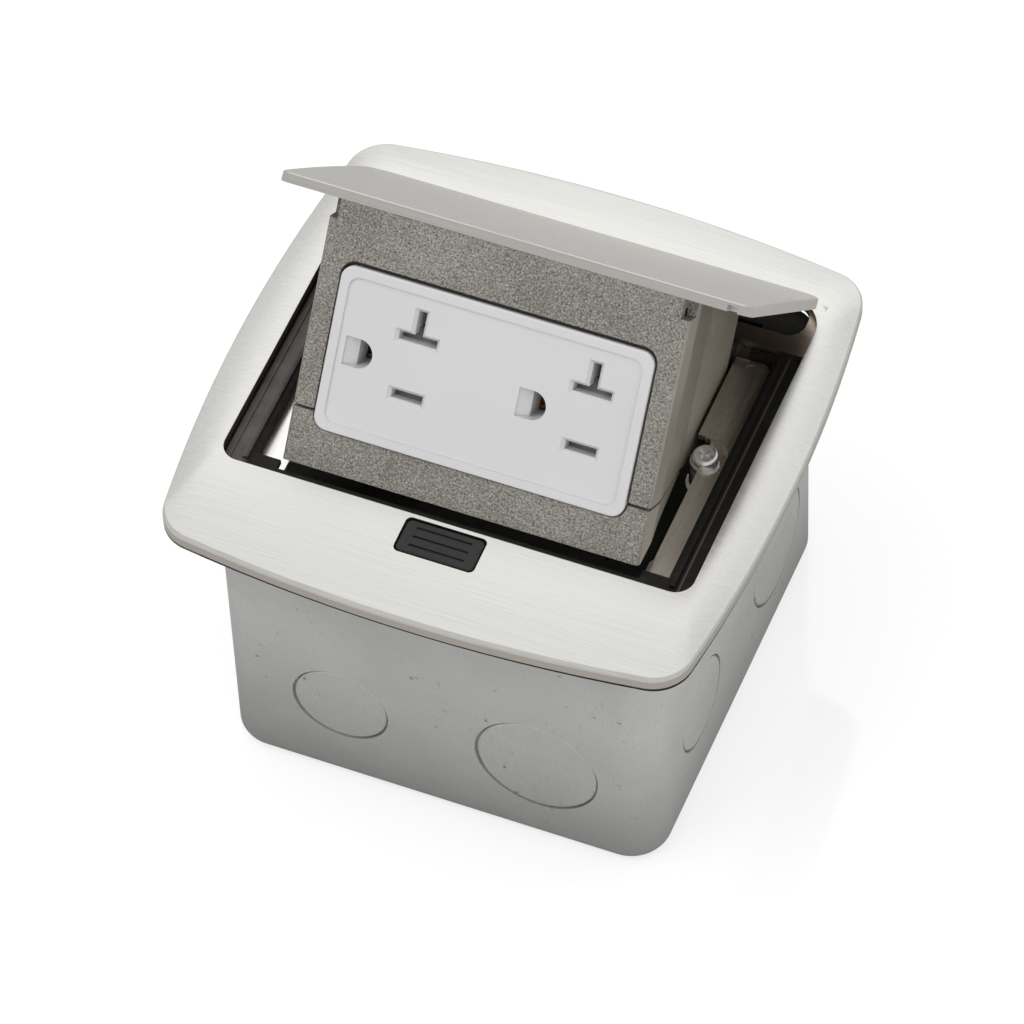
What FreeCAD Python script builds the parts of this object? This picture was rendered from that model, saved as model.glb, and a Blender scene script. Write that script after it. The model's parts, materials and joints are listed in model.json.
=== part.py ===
# Pop-up floor outlet: a cast box, a domed cover plate and a sprung carriage that lifts a duplex receptacle.
# X runs along the hinge, Y to the back and Z up. The origin is the middle of the box's underside.
# The carriage is drawn shut, with its lid flat, and is then turned up to its open rest place.
import FreeCAD, Part
import math
import os

# Sizes of the floor box, in millimetres
box_side = 100.0
box_height = 74.4
box_wall = 3.0
box_floor = 3.0
box_corner = 9.0
box_edge = 3.0
knockout_height = 25.4
small_knockout = 11.1
large_knockout = 14.1
small_knockout_shift = 22.1
large_knockout_shift = 23.1
knockout_groove = 0.9
knockout_groove_depth = 0.9
fixing_inset = 15.0
fixing_hole = 2.6
box_ear = 3.3
ground_inset = 19.0
ground_boss = 4.6
ground_boss_height = 6.0
ground_thread = 2.3

# Sizes of the cover plate and the opening in it
plate_band = 9.9
plate_lap_y = 11.4
plate_bulge = 4.75
plate_corner = 9.0
plate_seat = 2.8
rim_rise = 2.7
dome_rise = 2.3
rim_round = 0.6
plate_wall = 2.4
opening_half_x = 52.9
opening_front = -36.2
opening_front_corner = 4.2
opening_back_corner = 8.0
shelf_gap = 2.6
shelf_depth = 4.4
shelf_drop = 1.6
shelf_wall = 1.6
shelf_corner = 4.0
well_depth = 9.2
well_side = 2.9
plate_boss = 2.3
plate_boss_x = 43.6
plate_boss_front = -41.8
plate_screw = 1.25
floor_seal = 0.8
floor_seal_lap = 1.1
seal_gap = 0.4
seal_lift = 0.1
seal_bead = 1.2
seal_bead_in = 0.9
seal_lip = 1.4
seal_front_leg = 3.0
seal_corner_x = 40.9
seal_corner_front = -30.6
seal_latch_room = 0.55

# Sizes of the steel frame, its screws and the hinge brackets
frame_inset = 1.7
frame_sheet = 1.2
frame_window = 41.0
frame_tab_x = 40.4
frame_tab_back = -25.8
frame_window_front = -33.4
frame_window_gap = 1.8
frame_ledge_corner = 2.5
device_pitch = 83.3
frame_screw_y = 3.3
frame_screw_tab = 3.4
frame_screw_head = 3.0
frame_screw_thread = 1.6
bracket_inner = 38.1
bracket_outer = 46.2
bracket_front = 10.2
bracket_toe = 5.0
bracket_toe_x = 39.8
bracket_toe_gap = 1.7
bracket_back_gap = 2.0
bracket_sheet = 1.5
bracket_rivet = 1.2
bracket_rivet_x = 42.8
bracket_rivet_inset = 4.5
bracket_rivet_head = 1.9
sunk_depth = 0.8
pivot_eye = 5.0

# Sizes of the hinge and the carriage
open_angle = 47.0
pivot_setback = 11.4
pivot_drop = 16.8
pin_radius = 2.0
lid_side_gap = 0.5
lid_gap = 4.0
lid_depth = 62.2
lid_thick = 2.2
lid_crown = 0.4
lid_front_corner = 2.5
lid_back_corner = 6.6
face_lean = 11.9
face_reach = 31.4
face_setback = 0.2
housing_half_x = 40.1
housing_waist = 37.1
housing_waist_start = 7.0
housing_waist_end = 28.8
housing_depth = 51.5
housing_foot = 27.2
housing_belly = ((-20.7, 12.0), (-15.8, 28.8))
housing_rear_foot = -5.5
housing_panel = 2.5
housing_wall = 2.0
notch_height = 26.9
notch_half_x = 38.1
notch_depth = 4.2
seam_height = -14.8
seam_gap = 0.7
lid_screw_x = 27.0
lid_screw_y = (-22.0, 3.0)
lid_boss = 2.6
lid_screw = 1.2
lid_notch = 47.2
lid_notch_wide = 2.3
lid_notch_high = 1.4
arm_inner = 33.0
arm_sheet = 2.0
arm_rivet = 1.5
arm_rivet_head = 2.4
arm_rivet_places = ((0.5, 5.6), (8.0, 6.1))
strip_screw = 0.8
strip_screw_x = 36.7
strip_screw_y = -11.6
strip_tab = 1.2

# Sizes of the receptacle
ring_half_x = 34.85
ring_half_y = 18.3
ring_corner = 3.0
ring_proud = 0.8
ring_inner_x = 32.75
ring_inner_y = 16.2
ring_step = 0.45
window_gap = 0.3
outlet_pitch = 38.9
blade_shift = 3.35
blade_gap = 12.7
hot_slot = (6.9, 1.9)
neutral_slot = (8.5, 1.8)
neutral_leg = 6.2
slot_bevel = 0.75
slot_bevel_depth = 0.9
ground_reach = 11.95
ground_half = 3.2
ground_ramp = 0.6
body_half_x = 30.6
body_half_y = 16.0
body_back = 26.0
strap_sheet = 1.3
strap_half_x = 37.3
strap_screw_x = 36.1
strap_screw = 0.9
strap_rivet = 1.1
strap_rivet_x = 20.0
strap_half_y = 6.4
device_screw = 1.9
device_screw_z = -15.0
shutter_top = -3.7
shutter_foot = -7.7
shutter_travel = 2.5

# Sizes of the latch and the release button
button_y = -41.6
button_half_x = 8.8
button_half_y = 4.2
button_drop = 0.2
button_corner = 1.3
button_gap = 0.3
latch_sheet = 1.2
latch_lift = 0.25
latch_half_x = 40.0
latch_front = -45.6
latch_back = -35.2
latch_ramp = -42.4
latch_ratio = 0.5
latch_lip = -39.2
latch_tongue = 1.5
latch_tip = -32.9
latch_stop_x = 20.0
latch_stop = 2.2

# Clearances
running = 0.05
clear = 0.3

v = FreeCAD.Vector
x_axis = v(1, 0, 0)
y_axis = v(0, 1, 0)
z_axis = v(0, 0, 1)
plate_half_x = opening_half_x + plate_band
plate_half_y = box_side / 2 + plate_lap_y
plate_foot = box_height + plate_seat
plate_edge = plate_foot + rim_rise
plate_top = plate_edge + dome_rise
shelf_top = plate_top - shelf_drop
button_top = plate_top - button_drop
pivot_z = plate_top - pivot_drop
fixing_place = box_side / 2 - fixing_inset
ground_place = box_side / 2 - ground_inset
lid_front = opening_front + lid_gap
lid_half_x = opening_half_x - lid_side_gap
lid_top = plate_top
lid_under = lid_top - lid_thick
lid_back = lid_front + lid_depth
shelf_front = lid_back + shelf_gap
shelf_back = shelf_front + shelf_depth
pivot_y = lid_back + pivot_setback
frame_window_back = shelf_back + frame_window_gap
bracket_back = shelf_front - bracket_back_gap
opening_back = shelf_back + well_depth
plate_boss_back = shelf_front + plate_boss
cut_low = box_height - 15
cut_high = plate_top + 10
screw_x = device_pitch / 2
frame_top = box_height + frame_sheet
flange_foot = frame_top + 0.02
flange_top = flange_foot + bracket_sheet
arm_rivet_spots = [(y, pivot_z + rise) for y, rise in arm_rivet_places]
latch_level = frame_top + latch_lift
latch_heel = latch_ramp + 3.8
lean = math.radians(face_lean)
face_y = lid_front + face_setback + face_reach * math.sin(lean)
face_z = lid_under - face_reach * math.cos(lean)


def block(x0, x1, y0, y1, z0, z1):
    return Part.makeBox(x1 - x0, y1 - y0, z1 - z0, v(x0, y0, z0))


def post(x, y, z0, z1, radius):
    return Part.makeCylinder(radius, z1 - z0, v(x, y, z0), z_axis)


def rod(x0, x1, y, z, radius):
    return Part.makeCylinder(radius, x1 - x0, v(x0, y, z), x_axis)


def flat_xy(a, b):
    return v(a, b, 0)


def flat_yz(a, b):
    return v(0, a, b)


def rounded_wire(corners, radii, place):
    # A closed outline with a tangent arc at each corner whose radius is not zero
    count = len(corners)
    stops = []
    for i in range(count):
        here = v(corners[i][0], corners[i][1], 0)
        back = v(corners[i - 1][0], corners[i - 1][1], 0) - here
        ahead = v(corners[(i + 1) % count][0], corners[(i + 1) % count][1], 0) - here
        back.normalize()
        ahead.normalize()
        if radii[i] == 0:
            stops.append([here])
            continue
        half = back.getAngle(ahead) / 2
        reach = radii[i] / math.tan(half)
        middle = (back + ahead).normalize() * (radii[i] / math.sin(half) - radii[i])
        stops.append([here + back * reach, here + middle, here + ahead * reach])
    edges = []
    for i in range(count):
        if len(stops[i]) == 3:
            edges.append(Part.Arc(*[place(p.x, p.y) for p in stops[i]]).toShape())
        start = stops[i][-1]
        end = stops[(i + 1) % count][0]
        if start.distanceToPoint(end) > 1e-6:
            edges.append(Part.LineSegment(place(start.x, start.y), place(end.x, end.y)).toShape())
    return Part.Wire(edges)


def plate_of(corners, radii, z0, z1):
    face = Part.Face(rounded_wire(corners, radii, flat_xy))
    face.translate(v(0, 0, z0))
    return face.extrude(v(0, 0, z1 - z0))


def slab_of(corners, radii, x0, x1):
    face = Part.Face(rounded_wire(corners, radii, flat_yz))
    face.translate(v(x0, 0, 0))
    return face.extrude(v(x1 - x0, 0, 0))


def pad(half_x, y0, y1, z0, z1, front_corner, back_corner):
    corners = [(-half_x, y0), (half_x, y0), (half_x, y1), (-half_x, y1)]
    return plate_of(corners, [front_corner, front_corner, back_corner, back_corner], z0, z1)


def mirrored(shape):
    return shape.mirror(v(0, 0, 0), x_axis)


def both_sides(shape):
    return Part.Compound([shape, mirrored(shape)])


def joined(shapes):
    return shapes[0].fuse(shapes[1:]).removeSplitter()


def raised(shape):
    # Turns a piece of the carriage from its shut place to its open one
    shape.rotate(v(0, pivot_y, pivot_z), x_axis, -open_angle)
    return shape


def on_face(shape):
    # Takes a piece drawn with x across, y up the receptacle's face and z out of it to its open place
    shape.rotate(v(0, 0, 0), x_axis, 90 + face_lean)
    shape.translate(v(0, face_y, face_z))
    return raised(shape)


def plate_outline(share, z):
    # Share 0 is the plate's bulged rim and share 1 is the opening, each as four sides and four corners
    corner_x = plate_half_x - plate_bulge
    corner_y = plate_half_y - plate_bulge
    bow = (corner_y ** 2 + plate_bulge ** 2) / (2 * plate_bulge)
    slope = math.asin(corner_y / bow)
    half = (math.pi / 2 + 2 * slope) / 2
    reach = plate_corner / math.tan(half)
    dip = (plate_corner / math.sin(half) - plate_corner) * math.sqrt(0.5)
    stop_x = (corner_x + reach * math.sin(slope), corner_y - reach * math.cos(slope))
    stop_y = (corner_x - reach * math.cos(slope), corner_y + reach * math.sin(slope))
    stop_mid = (corner_x - dip, corner_y - dip)
    points = []
    for sx, sy in ((1, -1), (1, 1), (-1, 1), (-1, -1)):
        radius = opening_front_corner if sy < 0 else opening_back_corner
        edge = opening_front if sy < 0 else opening_back
        cut = radius * (1 - math.sqrt(0.5))
        inner_side = (sx * opening_half_x, edge - sy * radius)
        inner_mid = (sx * (opening_half_x - cut), edge - sy * cut)
        inner_end = (sx * (opening_half_x - radius), edge)
        outer_side = (sx * stop_x[0], sy * stop_x[1])
        outer_mid = (sx * stop_mid[0], sy * stop_mid[1])
        outer_end = (sx * stop_y[0], sy * stop_y[1])
        run = [(outer_side, inner_side), (outer_mid, inner_mid), (outer_end, inner_end)]
        if sx * sy < 0:
            run.reverse()
        points.append([v(a[0] + (b[0] - a[0]) * share, a[1] + (b[1] - a[1]) * share, z) for a, b in run])
    middles = [
        v(plate_half_x + (opening_half_x - plate_half_x) * share + 0.01, 0, z),
        v(0, plate_half_y + (opening_back - plate_half_y) * share + 0.01, z),
        v(-plate_half_x - (opening_half_x - plate_half_x) * share - 0.01, 0, z),
        v(0, -plate_half_y + (opening_front + plate_half_y) * share - 0.01, z),
    ]
    edges = []
    for i in range(4):
        edges.append(Part.Arc(*points[i]).toShape())
        edges.append(Part.Arc(points[i][2], middles[i], points[(i + 1) % 4][0]).toShape())
    return Part.Wire(edges)


def crown(share):
    return plate_edge + dome_rise * math.sin(share * math.pi / 2)


def loft_of(steps, ruled):
    return Part.makeLoft([plate_outline(share, z) for share, z in steps], True, ruled)


def outer_dome():
    # A straight rim, a small rounding and one smooth rise to the opening
    start = 0.04
    rim = [(0, plate_foot), (0, plate_edge - rim_round)]
    rounding = [(0, plate_edge - rim_round), (start * 0.3, plate_edge - rim_round * 0.2),
                (start, crown(start))]
    rise = [(share, crown(share)) for share in (start, 0.22, 0.42, 0.62, 0.81, 1.0)]
    return loft_of(rim, True).fuse([loft_of(rounding, True), loft_of(rise, False)])


def inner_dome():
    # The hollow under the plate, one wall in from the rim and one wall below the top
    start = plate_wall / 10
    floor = crown(0) - plate_wall
    low = loft_of([(start, plate_foot - 2), (start, floor)], True)
    rise = [(start, floor), (0.45, crown(0.45) - plate_wall), (0.7, crown(0.7) - plate_wall),
            (1.0, plate_top - plate_wall)]
    return low.fuse(loft_of(rise, True))


def make_box():
    half = box_side / 2
    shell = pad(half, -half, half, 0, box_height, box_corner, box_corner)
    bottom = [e for e in shell.Edges if e.BoundBox.ZMax < 0.01]
    shell = shell.makeFillet(box_edge, bottom)
    inner = half - box_wall
    radius = box_corner - box_wall
    body = shell.cut(pad(inner, -inner, inner, box_floor, box_height + 1, radius, radius))
    ears = []
    for side in (-1, 1):
        column = post(side * screw_x, frame_screw_y, cut_low - 3, box_height, box_ear)
        x0, x1 = sorted((side * screw_x, side * (inner + 0.5)))
        rib = block(x0, x1, frame_screw_y - box_ear, frame_screw_y + box_ear, cut_low - 3, box_height)
        ears.append(column.fuse(rib))
    boss = post(ground_place, ground_place, box_floor - 0.5, box_floor + ground_boss_height, ground_boss)
    body = joined([body, boss] + ears)
    holes = [post(s * screw_x, frame_screw_y, cut_low, box_height + 1, frame_screw_thread + running)
             for s in (-1, 1)]
    holes.append(post(ground_place, ground_place, box_floor + 0.6, box_floor + 9, ground_thread + running))
    for sx in (-1, 1):
        for sy in (-1, 1):
            holes.append(post(sx * fixing_place, sy * fixing_place, -1, box_floor + 1, fixing_hole))
    knockouts = ((-small_knockout_shift, small_knockout), (large_knockout_shift, large_knockout))
    for turn in range(4):
        for shift, radius in knockouts:
            start = v(shift, -half - 1, knockout_height)
            ring = Part.makeCylinder(radius, knockout_groove_depth + 1, start, y_axis)
            core = Part.makeCylinder(radius - knockout_groove, knockout_groove_depth + 1, start, y_axis)
            groove = ring.cut(core)
            groove.rotate(v(0, 0, 0), z_axis, 90 * turn)
            holes.append(groove)
    return body.cut(holes)


def boss_places():
    return [(side * plate_boss_x, y) for y in (plate_boss_front, plate_boss_back) for side in (-1, 1)]


def make_cover_plate():
    # A domed shell, with a cross bar behind the lid, a well behind the bar and four bosses
    body = outer_dome().cut(inner_dome())
    window = pad(opening_half_x, opening_front, opening_back, cut_low, cut_high,
                 opening_front_corner, opening_back_corner)
    shelf = pad(opening_half_x + 1, shelf_front, opening_back + 2, shelf_top - shelf_wall, shelf_top, 0, 6)
    notch = pad(opening_half_x - 1.1, shelf_front - 20, shelf_front, cut_low, cut_high, 1, shelf_corner)
    well = pad(opening_half_x - well_side, shelf_back, opening_back, cut_low, cut_high,
               shelf_corner, shelf_corner)
    bosses = [post(x, y, frame_top, shelf_top - shelf_wall / 2, plate_boss) for x, y in boss_places()]
    body = joined([body.cut(window), shelf.cut([notch, well])] + bosses)
    bore_top = shelf_top - shelf_wall - 0.4
    cuts = [post(x, y, frame_top - 1, bore_top, plate_screw + running) for x, y in boss_places()]
    cuts.append(pad(button_half_x + button_gap, button_y - button_half_y - button_gap,
                    button_y + button_half_y + button_gap, cut_low, cut_high, button_corner, button_corner))
    return body.cut(cuts)


def make_floor_seal():
    outer = Part.Face(plate_outline(0.06, plate_foot - floor_seal)).extrude(v(0, 0, floor_seal))
    inner = opening_half_x + floor_seal_lap
    return outer.cut(pad(inner, -inner, inner, cut_low, plate_top, box_corner, box_corner))


def make_lid_seal():
    # Rubber round the opening: a flat collar with one raised bead, wide at its front corners and at its back
    outer = opening_half_x - clear
    front = opening_front + clear
    back = opening_back - clear
    inner = bracket_outer + seal_gap
    end = shelf_front - clear
    floor = frame_top + seal_lift
    low = shelf_top - shelf_wall - seal_lift
    high = lid_under - clear
    over_latch = latch_level + latch_sheet + seal_latch_room
    bead = inner + seal_bead_in
    parts = [
        block(inner, outer, front, back, floor, low),
        block(bead, bead + seal_bead, front + seal_front_leg, end, low - 0.5, high),
        block(outer - seal_lip, outer, front + 1, end, low - 0.5, low + 0.4),
        block(seal_corner_x, inner + 0.5, front, seal_corner_front, over_latch, low),
        block(seal_corner_x, inner + 0.5, bracket_back + seal_gap, back, floor, low),
    ]
    half = joined(parts)
    front_leg = block(-inner, inner, front, front + seal_front_leg, over_latch, low)
    front_bead = block(-inner - 1, inner + 1, front + 1.2, front + 2.0, low - 0.5, high)
    rear_leg = block(-inner, inner, frame_window_back + 0.5, back, floor, low)
    ring = joined([half, mirrored(half), front_leg, front_bead, rear_leg])
    trim = pad(outer, front, back, cut_low, cut_high,
               opening_front_corner - clear, opening_back_corner - clear)
    cuts = [block(-latch_half_x - 3, latch_half_x + 3, front - 1, latch_tip + 3, cut_low, over_latch)]
    cuts += [post(x, y, cut_low, cut_high, plate_boss + clear) for x, y in boss_places()]
    return ring.common(trim).cut(cuts)


def frame_hook():
    # A sliver bent out of the edge beside the screw's tab
    root = frame_window + 0.2
    corners = [(root, -5.6), (40.3, -4.7), (39.6, -3.3), (39.3, -1.5), (39.65, -1.4), (40.1, -2.9),
               (40.7, -3.8), (root, -4.3)]
    return plate_of(corners, [0] * len(corners), box_height, frame_top)


def make_frame():
    half = box_side / 2 - frame_inset
    sheet = pad(half, -half, half, box_height, frame_top, 8, 8)
    r = frame_ledge_corner
    edge = [
        (frame_tab_x, frame_window_front), (frame_tab_x, frame_tab_back),
        (frame_window, frame_tab_back + 0.6), (frame_window, bracket_front - 1),
        (bracket_inner, bracket_front - 1), (bracket_inner, frame_window_back)]
    radii = [r, 0.3, 0.3, 0.8, 0.8, r]
    window = plate_of(edge + [(-x, y) for x, y in reversed(edge)], radii + radii[::-1], cut_low, cut_high)
    sheet = sheet.cut(window)
    tabs = [post(s * screw_x, frame_screw_y, box_height, frame_top, frame_screw_tab) for s in (-1, 1)]
    stops = []
    for side in (-1, 1):
        x = side * latch_stop_x
        stops.append(block(x - latch_stop, x + latch_stop, latch_front + 0.3, latch_front + 1.2,
                           box_height + 0.2, frame_top + 3.0))
    body = joined([sheet, both_sides(frame_hook())] + tabs + stops)
    holes = [post(s * screw_x, frame_screw_y, cut_low, cut_high, frame_screw_thread + 0.2) for s in (-1, 1)]
    holes += [post(x, y, cut_low, cut_high, plate_screw + 0.2) for x, y in boss_places()]
    for x, y in rivet_places():
        holes += [post(s * x, y, cut_low, cut_high, bracket_rivet + running) for s in (-1, 1)]
    holes.append(block(-6, 6, button_y - button_half_y - 1.5, button_y + 2.4, cut_low, cut_high))
    ear = bracket_inner + bracket_sheet + running
    for side in (-1, 1):
        x0, x1 = sorted((side * (bracket_inner - 1), side * ear))
        holes.append(block(x0, x1, bracket_front + 2.8, bracket_back + 0.2, cut_low, cut_high))
    return body.cut(holes)


def rivet_places():
    return [(bracket_rivet_x, bracket_front + bracket_rivet_inset), (bracket_rivet_x, bracket_back - 3.0)]


def sunk_pin(start, axis, length, radius, head, gap):
    # A pin with a cone head that ends level with the sheet, or its hole where gap is more than nothing
    stem = length - sunk_depth
    pin = Part.makeCylinder(radius + gap, stem, start, axis)
    return pin.fuse(Part.makeCone(radius + gap, head + gap, sunk_depth, start + axis * stem, axis))


def make_bracket():
    # A raised ledge whose end curves round the screw head, and an ear that carries the pin
    z0 = flange_foot
    z1 = flange_top
    flange = plate_of(
        [(bracket_inner, bracket_toe), (bracket_outer, bracket_toe), (bracket_outer, bracket_back),
         (bracket_inner, bracket_back)], [0, 0.6, 2, 0], z0, z1)
    flange = flange.cut([
        post(screw_x, frame_screw_y, z0 - 1, z1 + 1, frame_screw_head + bracket_toe_gap),
        block(bracket_inner - 1, bracket_toe_x, bracket_toe - 1, bracket_front - 2.1, z0 - 1, z1 + 1)])
    ear = slab_of(
        [(bracket_front + 3, z1), (bracket_front + 5, z1 - 13.1), (pivot_y - 5, pivot_z - 5.5),
         (pivot_y + 5, pivot_z - 5.5), (pivot_y + 5, pivot_z + 5.5), (bracket_back + 4, box_height - 0.2),
         (bracket_back, box_height - 0.2), (bracket_back, z1)],
        [0, 5, 4.5, 5.2, 5.2, 1, 0, 0], bracket_inner, bracket_inner + bracket_sheet)
    body = joined([flange, ear])
    cuts = [rod(bracket_inner - 5, bracket_outer, pivot_y, pivot_z, pin_radius + running)]
    for x, y in rivet_places():
        start = v(x, y, cut_low)
        cuts.append(sunk_pin(start, z_axis, z1 - cut_low, bracket_rivet, bracket_rivet_head, running))
    return body.cut(cuts)


def make_bracket_rivets():
    rivets = []
    foot = box_height - 0.7
    for x, y in rivet_places():
        pin = sunk_pin(v(x, y, foot), z_axis, flange_top - 0.02 - foot, bracket_rivet, bracket_rivet_head, 0)
        rivet = joined([pin, post(x, y, foot, box_height - 0.02, bracket_rivet + 0.6)])
        rivets += [rivet, mirrored(rivet)]
    return Part.Compound(rivets)


def pan_screw(radius, head_radius, head_height, length):
    # A pan head with a cross recess, standing on z = 0 with its shank below
    head = Part.makeCylinder(head_radius, head_height, v(0, 0, 0), z_axis)
    rim = [e for e in head.Edges if e.BoundBox.ZMin > head_height - 0.01 and e.Closed]
    head = head.makeFillet(head_height * 0.55, rim[:1])
    shank = Part.makeCylinder(radius, length, v(0, 0, -length), z_axis)
    screw = head.fuse(shank)
    reach = head_radius * 0.55
    half = head_radius * 0.13
    deep = head_height * 0.6
    cross = [block(-reach, reach, -half, half, head_height - deep, head_height + 1),
             block(-half, half, -reach, reach, head_height - deep, head_height + 1)]
    return screw.cut(cross)


def make_frame_screws():
    screws = []
    for side, turn in ((-1, 20), (1, 65)):
        screw = pan_screw(frame_screw_thread, frame_screw_head, 2.2, 14)
        screw.rotate(v(0, 0, 0), z_axis, turn)
        screw.translate(v(side * screw_x, frame_screw_y, frame_top + 0.02))
        screws.append(screw)
    return Part.Compound(screws)


def make_plate_screws():
    screws = []
    for x, y in boss_places():
        screw = pan_screw(plate_screw, 2.4, 1.6, 4.0)
        screw.rotate(v(0, 0, 0), x_axis, 180)
        screw.translate(v(x, y, box_height - 0.02))
        screws.append(screw)
    return Part.Compound(screws)


def make_ground_screw():
    # A hex washer head over the boss in the corner of the box
    z = box_floor + ground_boss_height + 0.05
    turns = [math.radians(60 * i) for i in range(6)]
    corners = [(4.6 * math.cos(turn), 4.6 * math.sin(turn)) for turn in turns]
    head = plate_of(corners, [0] * 6, 1.0, 3.4)
    washer = Part.makeCylinder(5.4, 1.0, v(0, 0, 0), z_axis)
    shank = Part.makeCylinder(ground_thread, 5.2, v(0, 0, -5.1), z_axis)
    slot = block(-4, 4, -0.5, 0.5, 2.4, 4)
    screw = joined([head, washer, shank]).cut(slot)
    screw.translate(v(ground_place, ground_place, z))
    return screw


def make_pivot_pin():
    end = bracket_inner + bracket_sheet
    pin = rod(-end - 2.6, end + 2.6, pivot_y, pivot_z, pin_radius)
    grooves = []
    for side in (-1, 1):
        x0 = min(side * (end + 0.5), side * (end + 1.3))
        ring = rod(x0, x0 + 0.8, pivot_y, pivot_z, pin_radius + 1)
        grooves.append(ring.cut(rod(x0 - 1, x0 + 2, pivot_y, pivot_z, pin_radius - 0.5)))
    return pin.cut(grooves)


def make_pin_clips():
    end = bracket_inner + bracket_sheet
    clip = rod(end + 0.55, end + 1.25, pivot_y, pivot_z, pin_radius + 2.2)
    clip = clip.cut(rod(end, end + 2, pivot_y, pivot_z, pin_radius - 0.5 + 0.02))
    clip = clip.cut(block(end, end + 2, pivot_y - 1.2, pivot_y + 1.2, pivot_z - 8, pivot_z))
    for side in (-1, 1):
        ear = Part.makeCylinder(0.9, 2, v(end, pivot_y + side * 2.3, pivot_z - 2.2), x_axis)
        clip = clip.cut(ear)
    return both_sides(clip)


def make_pivot_bush():
    # A flanged nylon bush that keeps the arm clear of the ear
    outer = arm_inner + arm_sheet
    bush = rod(arm_inner - 0.8, bracket_inner - clear, pivot_y, pivot_z, pin_radius + 1.4)
    flange = rod(outer + 0.02, bracket_inner - clear, pivot_y, pivot_z, pin_radius + 2.8)
    bush = joined([bush, flange])
    return bush.cut(rod(30, 50, pivot_y, pivot_z, pin_radius + running))


def coil_spring(coil, wire, pitch, length):
    # Round wire wound along z from z = 0, its middle line coil away from the axis
    path = Part.makeHelix(pitch, length, coil)
    ring = Part.Wire(Part.Circle(v(coil, 0, 0), y_axis, wire).toShape())
    return Part.Wire(path).makePipeShell([ring], True, True)


def leg_of(points, radius):
    # A bent wire leg with a ball at each end and bend
    pieces = [Part.makeSphere(radius * 1.06, p) for p in points]
    for a, b in zip(points, points[1:]):
        pieces.append(Part.makeCylinder(radius, a.distanceToPoint(b), a, b - a))
    return pieces


def lift_spring():
    # Close coils round the pin, one leg hooked over the arm and one up against the steel frame
    wire = 0.6
    coil = pin_radius + 0.9 + wire
    turns = 4
    pitch = 1.45
    start = arm_inner - 7.6
    end = start + pitch * turns
    body = coil_spring(coil, wire, pitch, pitch * turns)
    body.rotate(v(0, 0, 0), y_axis, 90)
    body.translate(v(start, 0, 0))
    hook = leg_of([v(end, 0, -coil), v(end + 0.4, -9, -6.2), v(arm_inner - 0.9, -15, -6.0)], wire)
    stay = leg_of([v(start, 0, -coil), v(start - 0.3, 4.4, -1.0), v(start - 0.3, 4.6, 6.6)], wire)
    spring = joined([body] + hook + stay)
    spring.translate(v(0, pivot_y, pivot_z))
    return spring


def lid_screw_places():
    return [(side * lid_screw_x, y) for y in lid_screw_y for side in (-1, 1)]


def make_lid():
    back = lid_back
    slab = pad(lid_half_x, lid_front, back, lid_under, lid_top + lid_crown,
               lid_front_corner, lid_back_corner)
    bow = (lid_depth ** 2 / 4 + lid_crown ** 2) / (2 * lid_crown)
    arch = rod(-plate_half_x, plate_half_x, lid_front + lid_depth / 2, lid_top + lid_crown - bow, bow)
    lid = slab.common(arch)
    rim = [e for e in lid.Edges if e.BoundBox.ZMin > lid_top - 0.2 and e.BoundBox.ZMax > lid_top - 0.2]
    lid = lid.makeFillet(0.45, rim)
    bevel = slab_of([(back - 5, lid_under - 0.5), (back + 1, lid_under - 0.5), (back + 1, lid_under + 1.3)],
                    [0, 0, 0], -plate_half_x, plate_half_x)
    bosses = [post(x, y, lid_under - 3.4, lid_under + 0.5, lid_boss) for x, y in lid_screw_places()]
    lid = joined([lid.cut(bevel)] + bosses)
    cuts = [post(x, y, lid_under - 4, lid_under + 0.8, lid_screw + running) for x, y in lid_screw_places()]
    cuts.append(block(lid_notch, lid_notch + lid_notch_wide, lid_front - 1, lid_front + 3,
                      lid_under - 1, lid_under + lid_notch_high))
    return lid.cut(cuts)


def make_lid_screws():
    flange_under = lid_under - housing_wall
    screws = []
    for x, y in lid_screw_places():
        screw = pan_screw(lid_screw, 4.0, 1.5, 3.0)
        screw.rotate(v(0, 0, 0), x_axis, 180)
        screw.translate(v(x, y, flange_under - 1.6))
        screws.append(screw)
    return Part.Compound(screws)


def face_slab(corners, radii, x0, x1):
    # A side view drawn as height up the face and depth behind it
    return slab_of([(height, -depth) for height, depth in corners], radii, x0, x1)


def housing_shell():
    slope = math.tan(lean)
    top_back = face_reach - housing_depth * slope
    outer = face_slab(
        [(face_reach, 0), (-housing_foot, 0), (-housing_foot, 1.6)] + list(housing_belly)
        + [(housing_rear_foot, housing_depth), (top_back, housing_depth)], [0, 0, 0, 4, 8, 3, 0], -45, 45)
    waist = [(housing_half_x, 0), (housing_half_x, housing_waist_start), (housing_waist, housing_waist_end),
             (housing_waist, 60)]
    plan = [(x, -d) for x, d in waist] + [(-x, -d) for x, d in reversed(waist)]
    wire = rounded_wire(plan, [0.9] + [0] * 6 + [0.9], lambda a, b: v(a, 0, b))
    outer = outer.common(Part.Face(wire).extrude(v(0, 90, 0)).translated(v(0, -45, 0)))
    inner_top = face_reach - housing_wall / math.cos(lean)
    hollow = face_slab(
        [(inner_top - housing_panel * slope, housing_panel), (-60, housing_panel), (-60, 70),
         (inner_top - 70 * slope, 70)], [0, 0, 0, 0], -45, 45)
    room = [(x - housing_wall, d) for x, d in waist]
    plan = [(x, -d) for x, d in room] + [(-x, -d) for x, d in reversed(room)]
    wire = rounded_wire(plan, [0] * 8, lambda a, b: v(a, 0, b))
    hollow = hollow.common(Part.Face(wire).extrude(v(0, 160, 0)).translated(v(0, -80, 0)))
    return outer.cut(hollow)


def window_tool():
    gap = window_gap
    corner = ring_corner + gap
    return pad(ring_half_x + gap, -ring_half_y - gap, ring_half_y + gap, -9, 5, corner, corner)


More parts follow.
